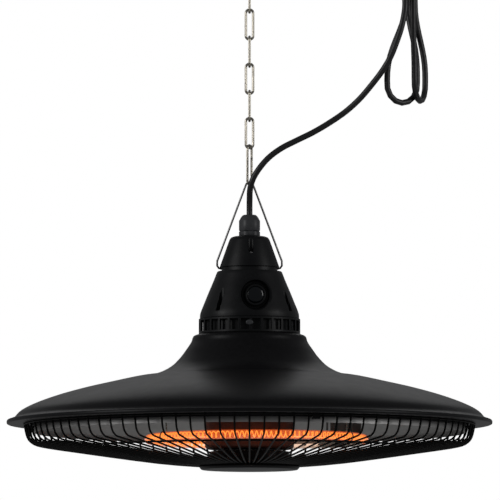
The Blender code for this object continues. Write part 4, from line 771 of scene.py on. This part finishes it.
def make_coil():
    points = []
    for n, angle in enumerate(round_lamp(COIL_GAP, COIL_CURLS * CURL_STEPS)):
        points.append(ring_place(angle, 2 * math.pi * n / CURL_STEPS, COIL_RADIUS))
    bm = tube_bmesh(points, COIL_WIRE_RADIUS, 6)
    finish_mesh("coil", bm, glow, "heater", "glowing", ["heating_coil"], sharp=80)


def make_lamp_clips():
    """Bright spring clips round the tube, each with a stem up to the reflector."""
    for n, angle in enumerate(CLIP_ANGLES):
        middle = ring_place(angle)
        out = Vector((math.cos(angle), math.sin(angle), 0))
        turns = [CLIP_START + CLIP_SWEEP * k / CLIP_STEPS for k in range(CLIP_STEPS + 1)]
        points = [middle + (out * math.cos(t) + UP * math.sin(t)) * CLIP_RADIUS for t in turns]
        stem = [middle + (out * r + UP * z) * MM for r, z in CLIP_STEM]
        bm = tube_bmesh(smooth(stem + points, 2), CLIP_WIRE_RADIUS, 8)
        finish_mesh(f"tube_clip_{n}", bm, zinc, "heater", "steel", [f"lamp_clip_{n + 1}"], sharp=60)


make_quartz_tube()
make_coil()
make_lamp_clips()


# Wire guard

WIRE_COUNT = 96
WIRE_RADIUS = 1.2 * MM
WIRE_SIDES = 8
HOOP_STEPS = 192
HOOPS = [(278, -4.9), (221, -34.5), (56.2, -54.4)]
GUARD_LINE = [
    (278, -4.9),
    (277, -10),
    (275.4, -17),
    (272.8, -23),
    (267.5, -27.6),
    (259, -30),
    (226, -35),
    (177, -42.2),
    (125, -49.4),
    (86, -53.2),
    (57.4, -54.4),
    (55, -54.4),
]
HUB_PLATE = [(0, -55.9), (61.8, -55.9), (61.8, -57.8), (59.3, -60.3), (0, -60.3)]
HUB_CUP = [
    (3.3, -52.9),
    (58, -52.9),
    (58, -51.6),
    (49.4, -51.4),
    (49.4, -38),
    (48, -38),
    (48, -51.4),
    (3.3, -51.4),
]


def make_guard():
    line = smooth(GUARD_LINE, 2)
    bm = bmesh.new()
    for n in range(WIRE_COUNT):
        angle = 2 * math.pi * n / WIRE_COUNT
        tube_bmesh([spun(p.x, angle, p.y) for p in line], WIRE_RADIUS, WIRE_SIDES, bm=bm)
    for radius, height in HOOPS:
        points = [spun(radius, 2 * math.pi * n / HOOP_STEPS, height) for n in range(HOOP_STEPS)]
        tube_bmesh(points, WIRE_RADIUS, WIRE_SIDES, closed=True, bm=bm)
    finish_mesh("guard_wires", bm, wire_black, "heater", "black_wire", ["wire_guard"], sharp=60)
    bm = turned_bmesh(rounded(HUB_PLATE, 0.8), 96)
    finish_mesh("hub_plate", bm, powder, "heater", "powder_black", ["guard_hub_plate"])
    bm = turned_bmesh(HUB_CUP, 96)
    finish_mesh("hub_cup", bm, powder, "heater", "powder_black", ["guard_hub_washer"], bevel=0.3 * MM)


make_guard()


# Vent collar

COLLAR_OUTER = 62.7
COLLAR_INNER = 59.7
COLLAR_LEVELS = (107.7, 110.3, 123.5, 126.1)
COLLAR_BARS = 28
BAR_SHARE = 0.22
SLEEVE = [(55, 107.8), (56, 107.8), (56, 125.9), (55, 125.9)]
LATCH = [(0, -1.2), (2.6, -1.2), (4.6, -0.4), (4.6, 1.6), (3.8, 2.6), (0, 2.6)]
LATCH_PLACE = (0, -COLLAR_OUTER * MM, 118.4 * MM)
LATCH_SQUASH = 0.72


def make_collar():
    """A ring of bars between two hoops, and a sleeve behind them."""
    bm = bmesh.new()
    count = COLLAR_BARS * 2
    columns = [(k // 2 + k % 2 * BAR_SHARE) * 2 * math.pi / COLLAR_BARS for k in range(count)]
    verts = {}

    def vert(k, level, side):
        key = (k % count, level, side)
        if key not in verts:
            radius = COLLAR_OUTER if side == 0 else COLLAR_INNER
            verts[key] = bm.verts.new(spun(radius, columns[k % count], COLLAR_LEVELS[level]))
        return verts[key]

    def face(*corners):
        bm.faces.new([vert(*corner) for corner in corners])

    for k in range(count):
        for level in range(3):
            if k % 2 == 1 and level == 1:
                face((k, 1, 0), (k, 1, 1), (k + 1, 1, 1), (k + 1, 1, 0))
                face((k, 2, 0), (k + 1, 2, 0), (k + 1, 2, 1), (k, 2, 1))
                face((k, 1, 0), (k, 2, 0), (k, 2, 1), (k, 1, 1))
                face((k + 1, 1, 0), (k + 1, 1, 1), (k + 1, 2, 1), (k + 1, 2, 0))
                continue
            above = level + 1
            for side in (0, 1):
                face((k, level, side), (k + 1, level, side), (k + 1, above, side), (k, above, side))
        for level in (0, 3):
            face((k, level, 0), (k + 1, level, 0), (k + 1, level, 1), (k, level, 1))
    options = {"sharp": 30, "bevel": 0.35 * MM}
    finish_mesh("collar", bm, plastic, "heater", "plastic_black", ["vent_collar"], **options)
    bm = turned_bmesh(SLEEVE, 96)
    finish_mesh("collar_sleeve", bm, plastic, "heater", "plastic_black", [])


def make_latch():
    bm = turned_bmesh(rounded(LATCH, 0.5), 64)
    squashed = Matrix.Diagonal((1, LATCH_SQUASH, 1, 1))
    bm.transform(Matrix.Translation(LATCH_PLACE) @ TO_FRONT @ squashed)
    finish_mesh("latch", bm, grey, "heater", "plastic_grey", ["collar_latch"])


make_collar()
make_latch()


# Housing and button

FOOT = 126.4
TOP = FOOT + 58.8
HOUSING_FOOT_RADIUS = 61.4
HOUSING_TOP_RADIUS = 39.4
HOUSING_WALL = 3
HOUSING_SHARES = [(0, 0), (0.03, 0.12), (0.25, 0.33), (0.5, 0.56), (0.75, 0.78), (0.95, 0.97)]
SPIGOT_RADIUS = 34.5
SPIGOT_BORE = 32
SPIGOT_TOP = TOP + 11
BUTTON_PLACE = Vector((0, 0, (FOOT + 26.8) * MM))
PAD = disc(20.5, 41.4, 54)
RECESS = [(0, 68), (21, 68), (17.8, 50), (17.2, 46), (16.6, 45.4), (0, 45.4)]
STEM_HOLE = disc(3.3, 30, 60)
BEZEL = [(10.3, 50.2), (11, 50.7), (12.8, 50.7), (13.8, 49.7), (13.8, 45.7), (10.3, 45.7)]
BUTTON_RADIUS = 10
BUTTON_EDGE = 50.3
BUTTON_DOME = 2
BUTTON_STEM = [(10, 47.7), (3, 47.7), (3, 39.7), (0, 39.7)]
SCREW_ANGLES = (math.radians(49), math.radians(-49))
BOSS_RADIUS = 6
BOSS_STEPS = [(47.3, 30), (51.5, 15)]
CHANNEL = disc(3.4, FOOT + 7.5, TOP, 0.8)
CHANNEL_STEPS = [52.5, 56.5, 60.5]
PIVOT_HOLE = disc(1.55, 24.5, 39.4)
PIVOT_HEIGHT = TOP + 3.2


def facing(angle, radius):
    """A place in metres at an angle from the front, on the level of the rim plane."""
    return Vector((radius * math.sin(angle), -radius * math.cos(angle), 0)) * MM


def housing_tools():
    """The button's pad and recess, the screws' bosses and channels, and the bail's holes."""
    tools = [(cutter("pad", PAD, 64, BUTTON_PLACE, TO_FRONT), "UNION")]
    for n, angle in enumerate(SCREW_ANGLES):
        for step, (radius, high) in enumerate(BOSS_STEPS):
            boss = disc(BOSS_RADIUS, FOOT + 3, FOOT + high)
            tools.append((cutter(f"boss_{n}_{step}", boss, 32, facing(angle, radius)), "UNION"))
    tools.append((cutter("recess", RECESS, 96, BUTTON_PLACE, TO_FRONT), "DIFFERENCE"))
    tools.append((cutter("stem_hole", STEM_HOLE, 32, BUTTON_PLACE, TO_FRONT), "DIFFERENCE"))
    for n, angle in enumerate(SCREW_ANGLES):
        for step, radius in enumerate(CHANNEL_STEPS):
            place = facing(angle, radius)
            tools.append((cutter(f"channel_{n}_{step}", CHANNEL, 40, place), "DIFFERENCE"))
    place = (0, 0, PIVOT_HEIGHT * MM)
    for n, side in enumerate((-1, 1)):
        turn = Matrix.Rotation(-YAW, 4, "Z") @ Matrix.Rotation(side * math.radians(90), 4, "Y")
        tools.append((cutter(f"pivot_{n}", PIVOT_HOLE, 24, place, turn), "DIFFERENCE"))
    return tools


def make_housing():
    line = between(HOUSING_SHARES, (HOUSING_FOOT_RADIUS, FOOT), (HOUSING_TOP_RADIUS, TOP))
    outer = [tuple(p) for p in smooth(line, 4)] + [(HOUSING_TOP_RADIUS, TOP)]
    inner = [(r - HOUSING_WALL, z) for r, z in outer[:-4]]
    spigot = [(SPIGOT_RADIUS, TOP), (SPIGOT_RADIUS, SPIGOT_TOP)]
    spigot += [(SPIGOT_BORE, SPIGOT_TOP), (SPIGOT_BORE, TOP - HOUSING_WALL)]
    outline = rounded(outer + spigot + inner[::-1], 0.8, whole=True)
    options = {"matrix": TURNED, "sharp": 32, "tools": housing_tools()}
    bm = turned_bmesh(outline, 128)
    finish_mesh("housing", bm, plastic, "heater", "plastic_black", ["lower_housing"], **options)


def make_button():
    seat = TURNED @ Matrix.Translation(BUTTON_PLACE) @ TO_FRONT
    bm = turned_bmesh(rounded(BEZEL, 0.5, whole=True), 96)
    finish_mesh("bezel", bm, plastic, "heater", "plastic_grey", ["button_bezel"], seat)
    round_edge = arc((0, 0), 1, math.radians(90), 0, 10)
    crown = [(BUTTON_RADIUS * x, BUTTON_EDGE + BUTTON_DOME * y) for x, y in round_edge]
    crown[0] = (0, crown[0][1])
    bm = turned_bmesh(crown + BUTTON_STEM, 96)
    finish_mesh("button_cap", bm, gloss, "button", "button_gloss", ["push_button"], seat)


make_housing()
make_button()


# Cap and gland

CAP_FOOT = TOP + 5
CAP_TOP = CAP_FOOT + 38.4
CAP_BORE = 9.9
CAP_HOLLOW = 14.5
CAP_SEAT = TOP + 11.3
CAP_SCREW_PLACE = facing(math.radians(-4.6), 28)
CAP_SLOT = disc(3.7, CAP_FOOT + 15.4, CAP_TOP + 5, 1)
CAP_OUTLINE = [
    (37, CAP_FOOT),
    (24.8, CAP_FOOT + 34.2),
    (22.7, CAP_TOP - 1.4),
    (18.5, CAP_TOP),
    (CAP_BORE, CAP_TOP),
    (CAP_BORE, CAP_TOP - 7),
    (CAP_HOLLOW, CAP_TOP - 7),
    (CAP_HOLLOW, CAP_SEAT),
    (34.8, CAP_SEAT),
    (34.8, CAP_FOOT),
]
SCREW_HEAD = [(0, 15.5), (2.9, 15.5), (2.9, 16.6), (1.9, 17.7), (1.1, 17.7), (0.8, 16.6), (0, 16.6)]
NUT_SIDES = 96
NUT_FLAT_DEPTH = 0.06
SEAT_FOOT = CAP_TOP + 0.3
SEAT_TOP = SEAT_FOOT + 6
NUT_FOOT = SEAT_TOP + 0.3
NUT_TOP = NUT_FOOT + 20
GLAND_NUT = [
    (4, NUT_TOP, 0),
    (7.6, NUT_TOP, 0),
    (9.6, NUT_TOP - 1.6, 0),
    (11.3, NUT_TOP - 4.2, 0),
    (12.2, NUT_TOP - 6, 0.6),
    (13.1, NUT_TOP - 7.2, 1),
    (13.1, NUT_FOOT + 1, 1),
    (12.4, NUT_FOOT, 0.5),
    (9, NUT_FOOT, 0),
    (9, NUT_TOP - 2.6, 0),
    (4, NUT_TOP - 2.6, 0),
]
GLAND_SEAT = [
    (3.6, SEAT_TOP, 0),
    (12, SEAT_TOP, 0.4),
    (13.1, SEAT_TOP - 0.8, 1),
    (13.1, SEAT_FOOT + 0.6, 1),
    (12.4, SEAT_FOOT, 0.6),
    (9.6, SEAT_FOOT, 0),
    (9.6, CAP_TOP - 7, 0),
    (3.6, CAP_TOP - 7, 0),
]


def make_cap():
    tools = [(cutter("cap_slot", CAP_SLOT, 48, CAP_SCREW_PLACE), "DIFFERENCE")]
    options = {"matrix": TURNED, "sharp": 32, "tools": tools}
    bm = turned_bmesh(rounded(CAP_OUTLINE, 0.9, whole=True), 128)
    finish_mesh("cap", bm, plastic, "heater", "plastic_black", ["top_cap"], **options)
    bm = turned_bmesh([(r, z + CAP_FOOT) for r, z in SCREW_HEAD], 48)
    bm.transform(Matrix.Translation(CAP_SCREW_PLACE))
    finish_mesh("cap_screw_head", bm, steel, "heater", "steel", ["cap_screw"], TURNED)


def nut_bmesh(rows):
    """A ring with six flats, from rows of radius, height and depth of the flats."""
    bm = bmesh.new()
    rings = []
    for radius, height, depth in rows:
        ring = []
        for n in range(NUT_SIDES):
            angle = 2 * math.pi * n / NUT_SIDES
            flat = depth * NUT_FLAT_DEPTH * (0.5 - 0.5 * math.cos(6 * angle))
            ring.append(bm.verts.new(spun(radius * (1 - flat), angle, height)))
        rings.append(ring)
    for first, second in zip(rings, rings[1:] + rings[:1]):
        for n in range(NUT_SIDES):
            m = (n + 1) % NUT_SIDES
            bm.faces.new((first[n], first[m], second[m], second[n]))
    return bm


def make_gland():
    """Dome nut with six flats, and the body under it."""
    options = {"matrix": TURNED, "sharp": 40}
    bm = nut_bmesh(GLAND_NUT)
    finish_mesh("gland_dome", bm, grey, "heater", "plastic_grey", ["gland_nut"], **options)
    bm = nut_bmesh(GLAND_SEAT)
    finish_mesh("gland_seat", bm, grey, "heater", "plastic_grey", ["gland_body"], **options)


make_cap()
make_gland()


# Chain, hooks and hanger

LINK_COUNT = 7
LINK_TOP = 577.65
LINK_PITCH = 33.7
LINK_LENGTH = 37.2
LINK_RADIUS = 4.5
LINK_WIRE_RADIUS = 1.6 * MM
BEND_STEPS = 14
SNAP_RADIUS = 5.5
SNAP_FOOT = 292.65
SNAP_LENGTH = 49
SNAP_GAP = (9.7, 34.3)
SNAP_TURN = math.radians(62)
SNAP_WIRE_RADIUS = 1.5 * MM
HOOK_RADIUS = 8
HOOK_MIDDLE = 581.75
HOOK_TOP = 629.7
HOOK_WIRE_RADIUS = 2 * MM
BAIL_WIRE_RADIUS = 1.25 * MM
BAIL_HALF = [
    (-29.5, 0),
    (-34.7, 0),
    (-37.9, 0.9),
    (-40, 3.8),
    (-40, 9.5),
    (-5.6, 101.1),
    (-3.7, 105.7),
    (0, 107.3),
]


def upright(points, lift=0):
    """Points in metres on the plane that faces the viewer."""
    return [Vector((x, 0, z + lift)) * MM for x, z in points]


def bends(low, high, radius):
    """The lower and the upper half circle of a long loop."""
    under = arc((0, low + radius), radius, math.radians(180), math.radians(360), BEND_STEPS)
    over = arc((0, high - radius), radius, 0, math.radians(180), BEND_STEPS)
    return under, over


def make_link(n):
    """A link of the chain, which faces the viewer or lies edge-on in turn."""
    top = LINK_TOP - LINK_PITCH * (n - 1)
    under, over = bends(top - LINK_LENGTH, top, LINK_RADIUS)
    points = upright(under + over)
    if n % 2 == 0:
        points = [Vector((-p.y, p.x, p.z)) for p in points]
    bm = tube_bmesh(points, LINK_WIRE_RADIUS, 16, closed=True)
    finish_mesh(f"link_{n}_wire", bm, zinc, f"link_{n}", "zinc", [f"chain_link_{n}"], sharp=60)


def make_snap():
    """The snap hook's wire, open where its gate closes it."""
    under, over = bends(SNAP_FOOT, SNAP_FOOT + SNAP_LENGTH, SNAP_RADIUS)
    low, high = [(SNAP_RADIUS, SNAP_FOOT + height) for height in SNAP_GAP]
    outline = [high] + over + under + [low]
    turn = DOWN @ Matrix.Rotation(SNAP_TURN, 4, "Z")
    bm = tube_bmesh(upright(outline), SNAP_WIRE_RADIUS, 16)
    finish_mesh("snap_body", bm, zinc, "snap", "zinc", ["snap_hook"], turn, sharp=60)


def make_bail():
    whole = BAIL_HALF + [(-x, z) for x, z in BAIL_HALF[:-1][::-1]]
    bm = tube_bmesh(upright(whole, PIVOT_HEIGHT), BAIL_WIRE_RADIUS, 14)
    finish_mesh("hanger_wire", bm, steel, "hanger", "steel", ["bail"], sharp=60)


def make_ceiling_hook():
    bowl = arc((0, HOOK_MIDDLE), HOOK_RADIUS, math.radians(360), math.radians(180), 24)
    points = [(0, HOOK_TOP), (0, HOOK_MIDDLE + 15.2), (6, HOOK_MIDDLE + 7.2)]
    points += bowl + [(-HOOK_RADIUS, HOOK_MIDDLE + 5)]
    bm = tube_bmesh([Vector((0, y, z)) * MM for y, z in points], HOOK_WIRE_RADIUS, 16)
    finish_mesh("chain_hook", bm, zinc, "ceiling", "zinc", ["ceiling_hook"], sharp=60)


for index in range(LINK_COUNT):
    make_link(index + 1)
make_snap()
make_bail()
make_ceiling_hook()


# Finishes for the CAD pieces that stay

KEPT = {
    zinc: "ceiling_plate cord_hook snap_gate plug_pin_1 plug_pin_2 housing_screw_1 housing_screw_2",
    steel: "plate_screw_1 plate_screw_2 guard_hub_screw base_plate thermal_cutout",
    satin: "reflector_stud_1 reflector_stud_2 reflector_stud_3",
    dull_steel: "lamp_bracket lamp_lead_1 lamp_lead_2",
    powder: "guard_clip_1 guard_clip_2 guard_clip_3",
    ceramic: "ceramic_end_1 ceramic_end_2 terminal_block",
    grey: "push_switch",
    rubber: "inner_cord",
    board: "control_board",
}
for finish, names in KEPT.items():
    for name in names.split():
        node = bpy.data.objects[name]
        node.data.materials.clear()
        node.data.materials.append(finish.material)
